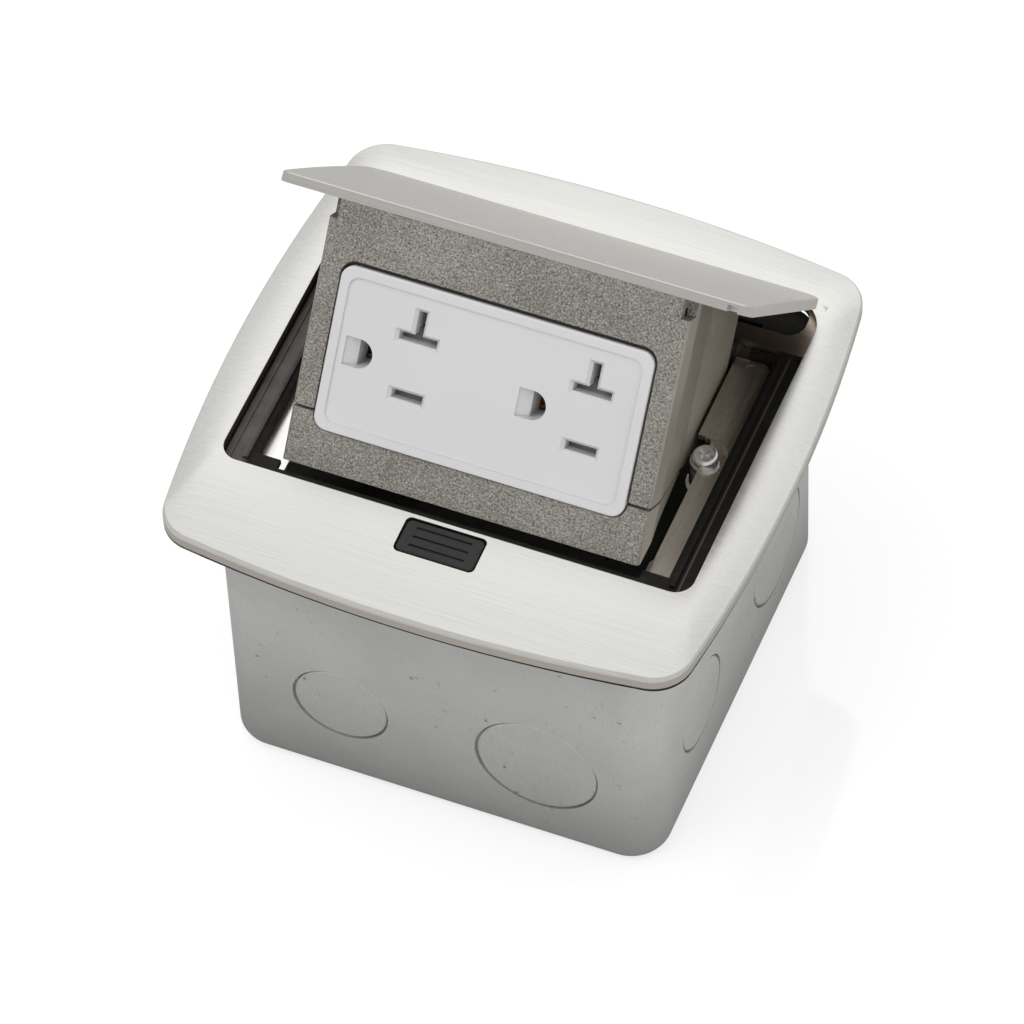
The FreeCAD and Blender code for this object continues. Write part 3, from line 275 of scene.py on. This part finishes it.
def castMetal(c):
    # die casting: blotches, flow marks, pits, rubbed patches, and painted shade darker towards the foot
    material, tree, shader = startMaterial("castMetal", c["high"], c["roughness"], 0.2)
    space = objectSpace(tree)
    blotch = noise(tree, space, c["blotchScale"], 5.0, 0.62)
    flow = noise(tree, objectSpace(tree, (24, 24, 40), (0.3, 0.2, 0.5)), 1.0, 5.0, 0.62)
    grain = noise(tree, space, c["grainScale"], 2.0)
    rubbedAndSheen = noise(tree, objectSpace(tree, (170, 170, 210)), 1.0, 4.0, 0.7)
    scar = noise(tree, objectSpace(tree, (620, 560, 150), (0.9, 0.7, 0.8)), 1.0, 3.0, 0.6)
    pits = addNode(tree, "ShaderNodeTexVoronoi", {"Scale": c["pitScale"], "Randomness": 1.0})
    tree.links.new(space, pits.inputs["Vector"])
    where = spread(tree, noise(tree, space, c["patchScale"], 3.0), 0, 1, 0.48, 0.60)
    rim = spread(tree, noise(tree, space, c["raggedScale"], 3.0), -0.12, 0.12)
    ragged = combine(tree, "ADD", pits.outputs["Distance"], rim)
    speck = between(tree, spread(tree, ragged, 1, 0, 0.02, 0.14), where)
    base = blendColors(tree, spread(tree, blotch, 0, 1), c["low"], c["high"])
    base = blendColors(tree, spread(tree, flow, 0, 0.6), base, c["flow"])
    base = blendColors(tree, spread(tree, grain, 0, 0.6), base, c["low"])
    base = blendColors(tree, between(tree, spread(tree, rubbedAndSheen, 0, 0.5, 0.62, 0.74), where), base, c["flow"])
    base = blendColors(tree, between(tree, spread(tree, scar, 0, 0.38, 0.66, 0.76), where), base, c["pit"])
    base = blendColors(tree, combine(tree, "MULTIPLY", speck, 0.7), base, c["pit"])
    # painted shade: the box is darker towards the bottom
    shade = spread(tree, partPlace(tree)[2], 1, 0, 0.0, c["footHeight"])
    base = blendColors(tree, between(tree, shade, shade), base, c["foot"], "MULTIPLY")
    tree.links.new(base, shader.inputs["Base Color"])
    rough = spread(tree, blotch, c["roughness"] - 0.06, c["roughness"] + 0.08)
    tree.links.new(rough, shader.inputs["Roughness"])
    height = combine(tree, "SUBTRACT", combine(tree, "MULTIPLY", grain, 0.22),
                     combine(tree, "MULTIPLY", speck, 0.9))
    under = addBump(tree, shader, blotch, 0.3, c["blotchBump"])
    addBump(tree, shader, height, 0.4, c["grainBump"], under)
    return material


paint = {
    "pit": (0.080, 0.073, 0.064), "low": (0.225, 0.211, 0.187), "high": (0.315, 0.298, 0.268),
    "top": (0.50, 0.48, 0.445), "side": (0.36, 0.33, 0.275), "roughness": 0.44, "grain": 3300.0,
    # gap and gapWidth: painted shade round the outlet's window
    "gap": (0.012, 0.011, 0.010), "gapWidth": 0.42 * mm, "window": (34.85 * mm, 18.3 * mm),
    "windowCorner": 3.0 * mm, "cloudScale": 60, "bump": 0.20 * mm,
}


def windowDistance(tree, p):
    # how far a point is outside the window that the outlet's ring fills
    slide = [j for j in frame["joints"] if j["name"] == "left_shutter_slide"][0]
    up = Vector(slide["axis"]).normalized()
    low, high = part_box("receptacle_face")
    middle = (Vector(low) + Vector(high)) / 2
    place = addNode(tree, "ShaderNodeTexCoord")
    across = combine(tree, "ABSOLUTE", partPlace(tree)[0], 0)
    rise = addNode(tree, "ShaderNodeVectorMath", {1: up}, operation="DOT_PRODUCT")
    tree.links.new(place.outputs["Object"], rise.inputs[0])
    along = combine(tree, "ABSOLUTE", combine(tree, "SUBTRACT", rise.outputs["Value"], middle.dot(up)), 0)
    sides = []
    for value, half in zip((across, along), p["window"]):
        sides.append(combine(tree, "MAXIMUM", combine(tree, "SUBTRACT", value, half - p["windowCorner"]), 0))
    squares = [combine(tree, "MULTIPLY", side, side) for side in sides]
    length = combine(tree, "SQRT", combine(tree, "ADD", *squares), 0)
    return combine(tree, "SUBTRACT", length, p["windowCorner"])


def pebblePaint(p):
    # warm grey pebbled paint on the faces, smooth olive paint on the sides
    material, tree, shader = startMaterial("pebblePaint", p["high"], p["roughness"], 0.25)
    space = objectSpace(tree)
    cells = addNode(tree, "ShaderNodeTexVoronoi", {"Scale": p["grain"], "Randomness": 1.0},
                    feature="SMOOTH_F1")
    tree.links.new(space, cells.inputs["Vector"])
    coarse = noise(tree, space, p["grain"] * 0.75, 3.0, 0.6)
    height = combine(tree, "ADD", combine(tree, "MULTIPLY", cells.outputs["Distance"], 0.7), coarse)
    front = spread(tree, combine(tree, "ABSOLUTE", facing(tree)[0], 0), 1, 0, 0.5, 0.85)
    cloud = noise(tree, space, p["cloudScale"], 3.0)
    base = blendColors(tree, spread(tree, cloud, 0, 1), p["low"], p["high"])
    # pebble pits painted darker and pebble tops painted lighter, in step with the bump: painted shade and
    # highlight
    base = blendColors(tree, spread(tree, coarse, 0.95, 0, 0.32, 0.5), base, p["pit"])
    base = blendColors(tree, spread(tree, coarse, 0, 0.85, 0.52, 0.68), base, p["top"])
    plain = blendColors(tree, spread(tree, cloud, 0, 1), tuple(v * 0.85 for v in p["side"]), p["side"])
    base = blendColors(tree, front, plain, base)
    # painted shade: a dark band on the paint round the outlet's ring, standing in for the shadowed gap
    gap = spread(tree, windowDistance(tree, p), 1, 0, p["gapWidth"], p["gapWidth"] * 1.3)
    base = blendColors(tree, between(tree, gap, front), base, p["gap"])
    tree.links.new(base, shader.inputs["Base Color"])
    tree.links.new(spread(tree, front, 0.30, p["roughness"] + 0.08, 0.0, 1.0), shader.inputs["Roughness"])
    addBump(tree, shader, between(tree, height, spread(tree, front, 0.12, 1, 0, 1)), 0.9, p["bump"])
    return material


plating = {
    "color": (0.86, 0.825, 0.775), "roughness": 0.2, "metallic": 0.88, "darker": 0.86,
    "stain": (0.56, 0.47, 0.36),
    # painted shade on the right, darker towards the back
    "rightShade": (0.40, 0.34, 0.28), "rightShadeSide": (34.0 * mm, 36.0 * mm), "rightShadeBack": (-20.0 * mm, 44.0 * mm),
    # painted reflection: the sheet made bright along the left
    "rubbedAndSheen": (0.97, 0.955, 0.93), "leftSheenSide": (-40.0 * mm, -36.0 * mm),
    # painted shade on the sheet where the lid seal covers it
    "underSealShade": (0.03, 0.027, 0.024), "sealSide": (47.0 * mm, 47.4 * mm),
    "drawnScale": (900, 24, 60), "stainScale": (260, 60, 60), "cloudScale": 120, "bump": 0.06 * mm,
}


def platedSheet(p):
    # plated steel with drawn lines and a cloudy film: painted shade at the right and under the seal, a bright
    # painted reflection at the left
    material, tree, shader = startMaterial("platedSheet", p["color"], p["roughness"], p["metallic"])
    drawn = noise(tree, objectSpace(tree, p["drawnScale"]), 1.0, 3.0, 0.6)
    cloud = noise(tree, objectSpace(tree), p["cloudScale"], 3.0)
    stain = noise(tree, objectSpace(tree, p["stainScale"]), 1.0, 3.0, 0.6)
    rough = spread(tree, drawn, p["roughness"] - 0.06, p["roughness"] + 0.12)
    tree.links.new(rough, shader.inputs["Roughness"])
    dark = tuple(c * p["darker"] for c in p["color"])
    base = blendColors(tree, spread(tree, cloud, 0, 1), dark, p["color"])
    base = blendColors(tree, spread(tree, stain, 0, 0.45, 0.45, 0.7), base, p["stain"])
    x, y = partPlace(tree)[:2]
    # painted shade at the right, growing towards the back
    rightShadeMask = between(tree, spread(tree, x, 0, 1, *p["rightShadeSide"]), spread(tree, y, 0, 1, *p["rightShadeBack"]))
    base = blendColors(tree, rightShadeMask, base, p["rightShade"], "MULTIPLY")
    # painted reflection, bright along the left side
    base = blendColors(tree, spread(tree, x, 1, 0, *p["leftSheenSide"]), base, p["rubbedAndSheen"])
    # painted shade where the seal covers the sheet
    covered = spread(tree, combine(tree, "ABSOLUTE", x, 0), 0, 1, *p["sealSide"])
    base = blendColors(tree, covered, base, p["underSealShade"])
    tree.links.new(base, shader.inputs["Base Color"])
    addBump(tree, shader, combine(tree, "ADD", drawn, cloud), 0.25, p["bump"])
    return material


def platedMetal(name, color, metallic=1.0):
    # small turned and stamped parts, with a faint cloud in colour and gloss
    material, tree, shader = startMaterial(name, color, 0.2, metallic)
    cloud = noise(tree, objectSpace(tree), 900, 3.0)
    tree.links.new(spread(tree, cloud, 0.14, 0.32), shader.inputs["Roughness"])
    tree.links.new(blendColors(tree, spread(tree, cloud, 0, 1), tuple(c * 0.8 for c in color), color),
                   shader.inputs["Base Color"])
    addBump(tree, shader, cloud, 0.2, 0.04 * mm)
    return material


def mouldedPlastic(name, color, roughness, grain=1500, depth=0.02 * mm, tint=0.04):
    # plastic with a fine grain and a faint, slow change of colour
    material, tree, shader = startMaterial(name, color, roughness)
    fine = noise(tree, objectSpace(tree), grain, 2.0)
    cloud = noise(tree, objectSpace(tree), 45, 2.0)
    low = tuple(c * (1 - tint) for c in color)
    high = tuple(min(1.0, c * (1 + tint * 0.5)) for c in color)
    tree.links.new(blendColors(tree, spread(tree, cloud, 0, 1), low, high), shader.inputs["Base Color"])
    tree.links.new(spread(tree, fine, roughness - 0.04, roughness + 0.06), shader.inputs["Roughness"])
    addBump(tree, shader, fine, 0.5, depth)
    return material


rubber = {
    "plain": (0.024, 0.022, 0.020), "plainRoughness": 0.5, "specular": 0.2,
    "color": (0.010, 0.009, 0.008), "dull": (0.05, 0.047, 0.043),
    # painted reflection along the left side, mottled by a noise
    "dustAndSheen": (0.15, 0.138, 0.127), "sheenSide": (-48.8 * mm, -47.0 * mm),
    # painted highlight: one light line along the bead on the right
    "paintedHighlight": (0.11, 0.108, 0.104), "highlightLine": ((49.3 * mm, 49.5 * mm), (49.7 * mm, 49.9 * mm)),
    "roughness": (0.42, 0.60), "fineScale": 1300, "dustAndSheenScale": 180, "bump": 0.04 * mm,
}


def blackRubber(r):
    # black rubber: a mottled painted reflection along the left side, with one painted highlight line along the
    # right
    material, tree, shader = startMaterial("blackRubber", r["plain"], r["plainRoughness"])
    shader.inputs["Specular IOR Level"].default_value = r["specular"]
    fine = noise(tree, objectSpace(tree), r["fineScale"], 3.0)
    dustAndSheen = noise(tree, objectSpace(tree), r["dustAndSheenScale"], 4.0, 0.65)
    x = partPlace(tree)[0]
    base = blendColors(tree, spread(tree, dustAndSheen, 0, 0.3, 0.5, 0.75), r["color"], r["dull"])
    # painted reflection: lighter along the left side, broken up by the mottle
    paintedSheen = between(tree, spread(tree, x, 1, 0, *r["sheenSide"]), spread(tree, dustAndSheen, 0.6, 1.0))
    base = blendColors(tree, paintedSheen, base, r["dustAndSheen"])
    starts, ends = r["highlightLine"]
    # painted highlight along the right-hand bead
    paintedHighlight = between(tree, spread(tree, x, 0, 1, *starts), spread(tree, x, 1, 0, *ends))
    base = blendColors(tree, combine(tree, "MULTIPLY", paintedHighlight, 0.6), base, r["paintedHighlight"])
    tree.links.new(base, shader.inputs["Base Color"])
    tree.links.new(spread(tree, fine, *r["roughness"]), shader.inputs["Roughness"])
    addBump(tree, shader, fine, 0.5, r["bump"])
    return material


finishes = {
    "cast_box": castMetal(casting),
    "brushed_nickel_plate": brushedNickel("plateNickel", nickel["plate"], nickel["plateRoughness"],
                                          plate=True),
    "brushed_nickel_lid": brushedNickel("lidNickel", nickel["lid"], nickel["lidRoughness"], depth=0.7,
                                        lid=True),
    "textured_grey_paint": pebblePaint(paint),
    "plated_sheet": platedSheet(plating),
    "zinc_screws": platedMetal("zincPlate", (0.92, 0.92, 0.92), 0.85),
    "steel_pins": platedMetal("pinSteel", (0.62, 0.62, 0.62)),
    "spring_wire": platedMetal("springWire", (0.32, 0.32, 0.34)),
    "black_rubber": blackRubber(rubber),
    "black_button": mouldedPlastic("buttonBlack", (0.011, 0.011, 0.012), 0.46, 2300, 0.10 * mm),
    "white_nylon": mouldedPlastic("whiteNylon", (0.80, 0.79, 0.75), 0.4),
    "pale_grey_plastic": mouldedPlastic("paleGreyPlastic", (0.625, 0.625, 0.625), 0.36, 1100, 0.01 * mm,
                                        0.02),
    "dark_grey_plastic": mouldedPlastic("darkGreyPlastic", (0.16, 0.16, 0.17), 0.45, 900, 0.03 * mm),
    "grey_shutter": mouldedPlastic("shutterGrey", (0.20, 0.20, 0.21), 0.45),
    "brass_parts": platedMetal("stampedBrass", (0.62, 0.42, 0.18)),
    "silver_screws": platedMetal("silverScrew", (0.82, 0.82, 0.80)),
    "green_screws": platedMetal("greenScrew", (0.08, 0.34, 0.14)),
}
slotOfNode = {s["node"]: s["material_slot"] for s in frame["record"]["subparts"]}
bodyOfNode = {n: body for body, names in frame["record"]["behaviour"]["bodies"].items() for n in names}
for name, node in nodes.items():
    node.data.materials.clear()
    node.data.materials.append(finishes[slotOfNode[name]])
# rivet heads finished like the sheet they sit in
for name, slot in {"bracket_rivets": "plated_sheet", "arm_rivets": "textured_grey_paint"}.items():
    nodes[name].data.materials[0] = finishes[slot]
print("finishes made:", len(finishes))


# knockouts: a nearly flush disc in each groove, shifted so that the dark gap shows away from its tab
knockout = {
    "slack": 0.56 * mm,  # from the mount's radius to the disc's edge
    "shift": 0.50 * mm,  # towards the uncut tab
    "tilt": 0.4,         # degrees, hinged at the tab
    "proud": 0.06 * mm,  # at the tab
    "deep": 0.8 * mm,    # how far the disc goes into the wall
    "round": 0.22 * mm,
    "tabAngle": 62.0,    # degrees above the level
    "segments": 72,
    "meanRadius": 12.6 * mm,
}


def discTree(material, k):
    # one chamfered disc on every point, turned and sized by the point's own values
    tree = bpy.data.node_groups.new("knockoutDiscs", "GeometryNodeTree")
    tree.interface.new_socket("Geometry", in_out="INPUT", socket_type="NodeSocketGeometry")
    for label in ("Depth", "Chamfer"):
        tree.interface.new_socket(label, in_out="INPUT", socket_type="NodeSocketFloat")
    tree.interface.new_socket("Segments", in_out="INPUT", socket_type="NodeSocketInt")
    tree.interface.new_socket("Geometry", in_out="OUTPUT", socket_type="NodeSocketGeometry")
    start = addNode(tree, "NodeGroupInput")
    end = addNode(tree, "NodeGroupOutput")
    radius = addNode(tree, "GeometryNodeInputNamedAttribute", {"Name": "discRadius"}, data_type="FLOAT")
    turn = addNode(tree, "GeometryNodeInputNamedAttribute", {"Name": "discTurn"}, data_type="FLOAT_VECTOR")
    ring = addNode(tree, "GeometryNodeMeshCircle", {"Radius": 1.0}, fill_type="NGON")
    tree.links.new(start.outputs["Segments"], ring.inputs["Vertices"])
    spots = addNode(tree, "GeometryNodeInstanceOnPoints")
    rotation = addNode(tree, "FunctionNodeEulerToRotation")
    tree.links.new(turn.outputs["Attribute"], rotation.inputs["Euler"])
    size = addNode(tree, "ShaderNodeCombineXYZ", {"Z": 1.0})
    for axis in ("X", "Y"):
        tree.links.new(radius.outputs["Attribute"], size.inputs[axis])
    tree.links.new(start.outputs["Geometry"], spots.inputs["Points"])
    tree.links.new(ring.outputs["Mesh"], spots.inputs["Instance"])
    tree.links.new(rotation.outputs["Rotation"], spots.inputs["Rotation"])
    tree.links.new(size.outputs["Vector"], spots.inputs["Scale"])
    flat = addNode(tree, "GeometryNodeRealizeInstances")
    tree.links.new(spots.outputs["Instances"], flat.inputs["Geometry"])
    face = addNode(tree, "GeometryNodeInputNormal")
    wall = addNode(tree, "GeometryNodeExtrudeMesh", mode="FACES")
    tree.links.new(flat.outputs["Geometry"], wall.inputs["Mesh"])
    tree.links.new(face.outputs["Normal"], wall.inputs["Offset"])
    tree.links.new(start.outputs["Depth"], wall.inputs["Offset Scale"])
    lip = addNode(tree, "GeometryNodeExtrudeMesh", mode="FACES")
    tree.links.new(wall.outputs["Mesh"], lip.inputs["Mesh"])
    tree.links.new(wall.outputs["Top"], lip.inputs["Selection"])
    tree.links.new(start.outputs["Chamfer"], lip.inputs["Offset Scale"])
    narrow = {"Scale": 1 - k["round"] / k["meanRadius"]}
    taper = addNode(tree, "GeometryNodeScaleElements", narrow, domain="FACE")
    tree.links.new(lip.outputs["Mesh"], taper.inputs["Geometry"])
    tree.links.new(lip.outputs["Top"], taper.inputs["Selection"])
    real = addNode(tree, "GeometryNodeRealizeInstances")
    tree.links.new(taper.outputs["Geometry"], real.inputs["Geometry"])
    paintIt = addNode(tree, "GeometryNodeSetMaterial", {"Material": material})
    tree.links.new(real.outputs["Geometry"], paintIt.inputs["Geometry"])
    tree.links.new(paintIt.outputs["Geometry"], end.inputs["Geometry"])
    return tree


def makeDiscs(k):
    mesh = bpy.data.meshes.new("knockoutDiscs")
    spots, radii, turns = [], [], []
    for mount in frame["record"]["mounts"]:
        if "knockout" not in mount["name"]:
            continue
        out = Vector(mount["axis"])
        side = Vector((0, 0, 1)).cross(out)  # to the right, seen from outside
        angle = math.radians(k["tabAngle"])
        lean = 1 if out.y < -0.5 or out.x < -0.5 else -1
        tab = side * math.cos(angle) * lean + Vector((0, 0, 1)) * math.sin(angle)
        radius = mount["dims"]["r_mm"] * mm - k["slack"]
        tilt = math.radians(k["tilt"])
        normal = (out * math.cos(tilt) + tab * math.sin(tilt)).normalized()
        along = (tab - normal * tab.dot(normal)).normalized()
        basis = Matrix((along, normal.cross(along), normal)).transposed()
        middle = Vector(mount["pos_m"]) + tab * k["shift"]
        face = middle + out * (radius * math.sin(tilt) + k["proud"])
        spots.append(face - normal * (k["deep"] + k["round"]))
        radii.append(radius)
        turns.append(tuple(basis.to_euler()))
    mesh.from_pydata([tuple(p) for p in spots], [], [])
    mesh.attributes.new("discRadius", "FLOAT", "POINT").data.foreach_set("value", radii)
    turnValues = [v for turn in turns for v in turn]
    mesh.attributes.new("discTurn", "FLOAT_VECTOR", "POINT").data.foreach_set("vector", turnValues)
    discs = bpy.data.objects.new("knockoutDiscs", mesh)
    bpy.context.scene.collection.objects.link(discs)
    tree = discTree(finishes["cast_box"], k)
    modifier = discs.modifiers.new("discs", "NODES")
    modifier.node_group = tree
    values = {"Depth": k["deep"], "Chamfer": k["round"], "Segments": k["segments"]}
    for item in tree.interface.items_tree:
        if item.in_out == "INPUT" and item.name in values:
            modifier[item.identifier] = values[item.name]
    evaluated = discs.evaluated_get(bpy.context.evaluated_depsgraph_get())
    discs.data = bpy.data.meshes.new_from_object(evaluated)
    discs.modifiers.clear()
    discs.data.name = "knockoutDiscs"
    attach(discs, "housing")


makeDiscs(knockout)
print("knockout discs made")


# cover plate: the same shape, with the rise blended smoothly round its corners
smoothPlate = {"sharpAngle": 11.0}


def makePlate(k):
    body = bmesh.new()
    body.from_mesh(nodes["cover_plate"].data)
    bmesh.ops.remove_doubles(body, verts=body.verts, dist=mergeDistance)
    mesh = bpy.data.meshes.new("domedPlate")
    body.to_mesh(mesh)
    body.free()
    if "custom_normal" in mesh.attributes:
        mesh.attributes.remove(mesh.attributes["custom_normal"])
    mesh.shade_smooth()
    mesh.set_sharp_from_angle(angle=math.radians(k["sharpAngle"]))
    mesh.materials.clear()
    mesh.materials.append(finishes[slotOfNode["cover_plate"]])
    plate = bpy.data.objects.new("domedPlate", mesh)
    bpy.context.scene.collection.objects.link(plate)
    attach(plate, bodyOfNode["cover_plate"])
    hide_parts("cover_plate")


makePlate(smoothPlate)
print("plate made")


# floor seal: the soft strip squeezed out to the plate's edge and in towards the lid seal
squeezedSeal = {
    "reach": 0.25 * mm,   # how far it stays inside the plate's edge
    "inside": 54.5 * mm,  # vertices nearer than this belong to the hole
    "inward": 1.3 * mm,
}


def makeFloorSeal(k):
    low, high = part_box("floor_seal")
    plateLow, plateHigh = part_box("cover_plate")
    mesh = nodes["floor_seal"].data.copy()
    mesh.name = "squeezedSeal"
    seal = bpy.data.objects.new("squeezedSeal", mesh)
    bpy.context.scene.collection.objects.link(seal)
    body = bmesh.new()
    body.from_mesh(mesh)
    bmesh.ops.remove_doubles(body, verts=body.verts, dist=mergeDistance)
    grow = [(plateHigh[i] - plateLow[i] - 2 * k["reach"]) / (high[i] - low[i]) for i in (0, 1)]
    middle = [(low[i] + high[i]) / 2 for i in (0, 1)]
    plateMiddle = [(plateLow[i] + plateHigh[i]) / 2 for i in (0, 1)]
    for vertex in body.verts:
        ofHole = all(abs(vertex.co[i]) < k["inside"] for i in (0, 1))
        for i in (0, 1):
            if ofHole:
                vertex.co[i] -= math.copysign(k["inward"], vertex.co[i])
            else:
                vertex.co[i] = plateMiddle[i] + (vertex.co[i] - middle[i]) * grow[i]
    body.to_mesh(mesh)
    body.free()
    mesh.materials.clear()
    mesh.materials.append(finishes[slotOfNode["floor_seal"]])
    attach(seal, bodyOfNode["floor_seal"])
    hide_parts("floor_seal")


makeFloorSeal(squeezedSeal)
print("floor seal made")


# stage
stageSize = {
    "floor": 3.0,     # half its side, in metres
    "white": 0.38,
    "lift": 0.655,    # added for the camera, so that the floor is white
    "mirror": 0.17,   # added for what the part reflects
    "gloss": 0.07,
}


def makeStage(s):
    mesh = bpy.data.meshes.new("studioFloor")
    half = s["floor"]
    corners = [(-half, -half, 0), (half, -half, 0), (half, half, 0), (-half, half, 0)]
    mesh.from_pydata(corners, [], [(0, 1, 2, 3)])
    floor = bpy.data.objects.new("studioFloor", mesh)
    bpy.context.scene.collection.objects.link(floor)
    material, tree, shader = startMaterial("floorWhite", (s["white"],) * 3, s["gloss"])
    rays = addNode(tree, "ShaderNodeLightPath")
    bounced = combine(tree, "MAXIMUM", rays.outputs["Is Glossy Ray"], rays.outputs["Is Transmission Ray"])
    seen = combine(tree, "ADD", combine(tree, "MULTIPLY", rays.outputs["Is Camera Ray"], s["lift"]),
                   combine(tree, "MULTIPLY", bounced, s["mirror"]))
    glow = addNode(tree, "ShaderNodeEmission", {"Color": (1, 1, 1, 1)})
    tree.links.new(seen, glow.inputs["Strength"])
    both = addNode(tree, "ShaderNodeAddShader")
    tree.links.new(shader.outputs["BSDF"], both.inputs[0])
    tree.links.new(glow.outputs["Emission"], both.inputs[1])
    tree.links.new(both.outputs["Shader"], tree.nodes["Material Output"].inputs["Surface"])
    floor.data.materials.append(material)


makeStage(stageSize)


# light
studio = {
    "world": 0.60,
    "mirror": (0.62, 1.24),           # what metal reflects: the room, and the soft box's middle
    "softBox": (-0.18, 0.66, 0.73),   # towards it
    "softBoxEdge": (0.72, 0.99),
    "aim": (0, 0, 0.08),
    "key": {"place": (-0.8, -0.5, 1.6), "size": 1.5, "power": 15.0},
    "fill": {"place": (0.9, -1.2, 0.8), "size": 1.0, "power": 5.5},
    "back": {"place": (1.3, 1.2, 1.0), "size": 1.4, "power": 5.0},
    "side": {"place": (1.7, -0.2, 0.7), "size": 1.2, "power": 6.5},
}


def makeLamp(name, lamp, aim):
    data = bpy.data.lights.new(name, "AREA")
    data.shape = "SQUARE"
    data.size = lamp["size"]
    data.energy = lamp["power"]
    lampObject = bpy.data.objects.new(name, data)
    lampObject.visible_glossy = False  # metal mirrors the soft box instead
    bpy.context.scene.collection.objects.link(lampObject)
    place = Vector(lamp["place"])
    lampObject.location = place
    lampObject.rotation_euler = (Vector(aim) - place).to_track_quat("-Z", "Y").to_euler()


def makeLight(s):
    world = bpy.data.worlds.new("studioWorld")
    bpy.context.scene.world = world
    world.use_nodes = True
    tree = world.node_tree
    background = tree.nodes["Background"]
    rays = addNode(tree, "ShaderNodeLightPath")
    sky = addNode(tree, "ShaderNodeTexCoord")
    toBox = addNode(tree, "ShaderNodeVectorMath", {1: Vector(s["softBox"]).normalized()},
                    operation="DOT_PRODUCT")
    tree.links.new(sky.outputs["Generated"], toBox.inputs[0])
    tent = spread(tree, toBox.outputs["Value"], *s["mirror"], *s["softBoxEdge"])
    bounced = combine(tree, "MAXIMUM", rays.outputs["Is Glossy Ray"], rays.outputs["Is Transmission Ray"])
    mirrored = combine(tree, "MULTIPLY", bounced, combine(tree, "SUBTRACT", tent, s["world"]))
    seen = combine(tree, "MULTIPLY", rays.outputs["Is Camera Ray"], 1 - s["world"])
    strength = combine(tree, "ADD", combine(tree, "ADD", seen, mirrored), s["world"])
    tree.links.new(strength, background.inputs["Strength"])
    background.inputs["Color"].default_value = (1, 1, 1, 1)
    for name in ("key", "fill", "back", "side"):
        makeLamp(name, s[name], s["aim"])


makeLight(studio)
bpy.context.scene.view_settings.view_transform = "Standard"
print("studio ready")
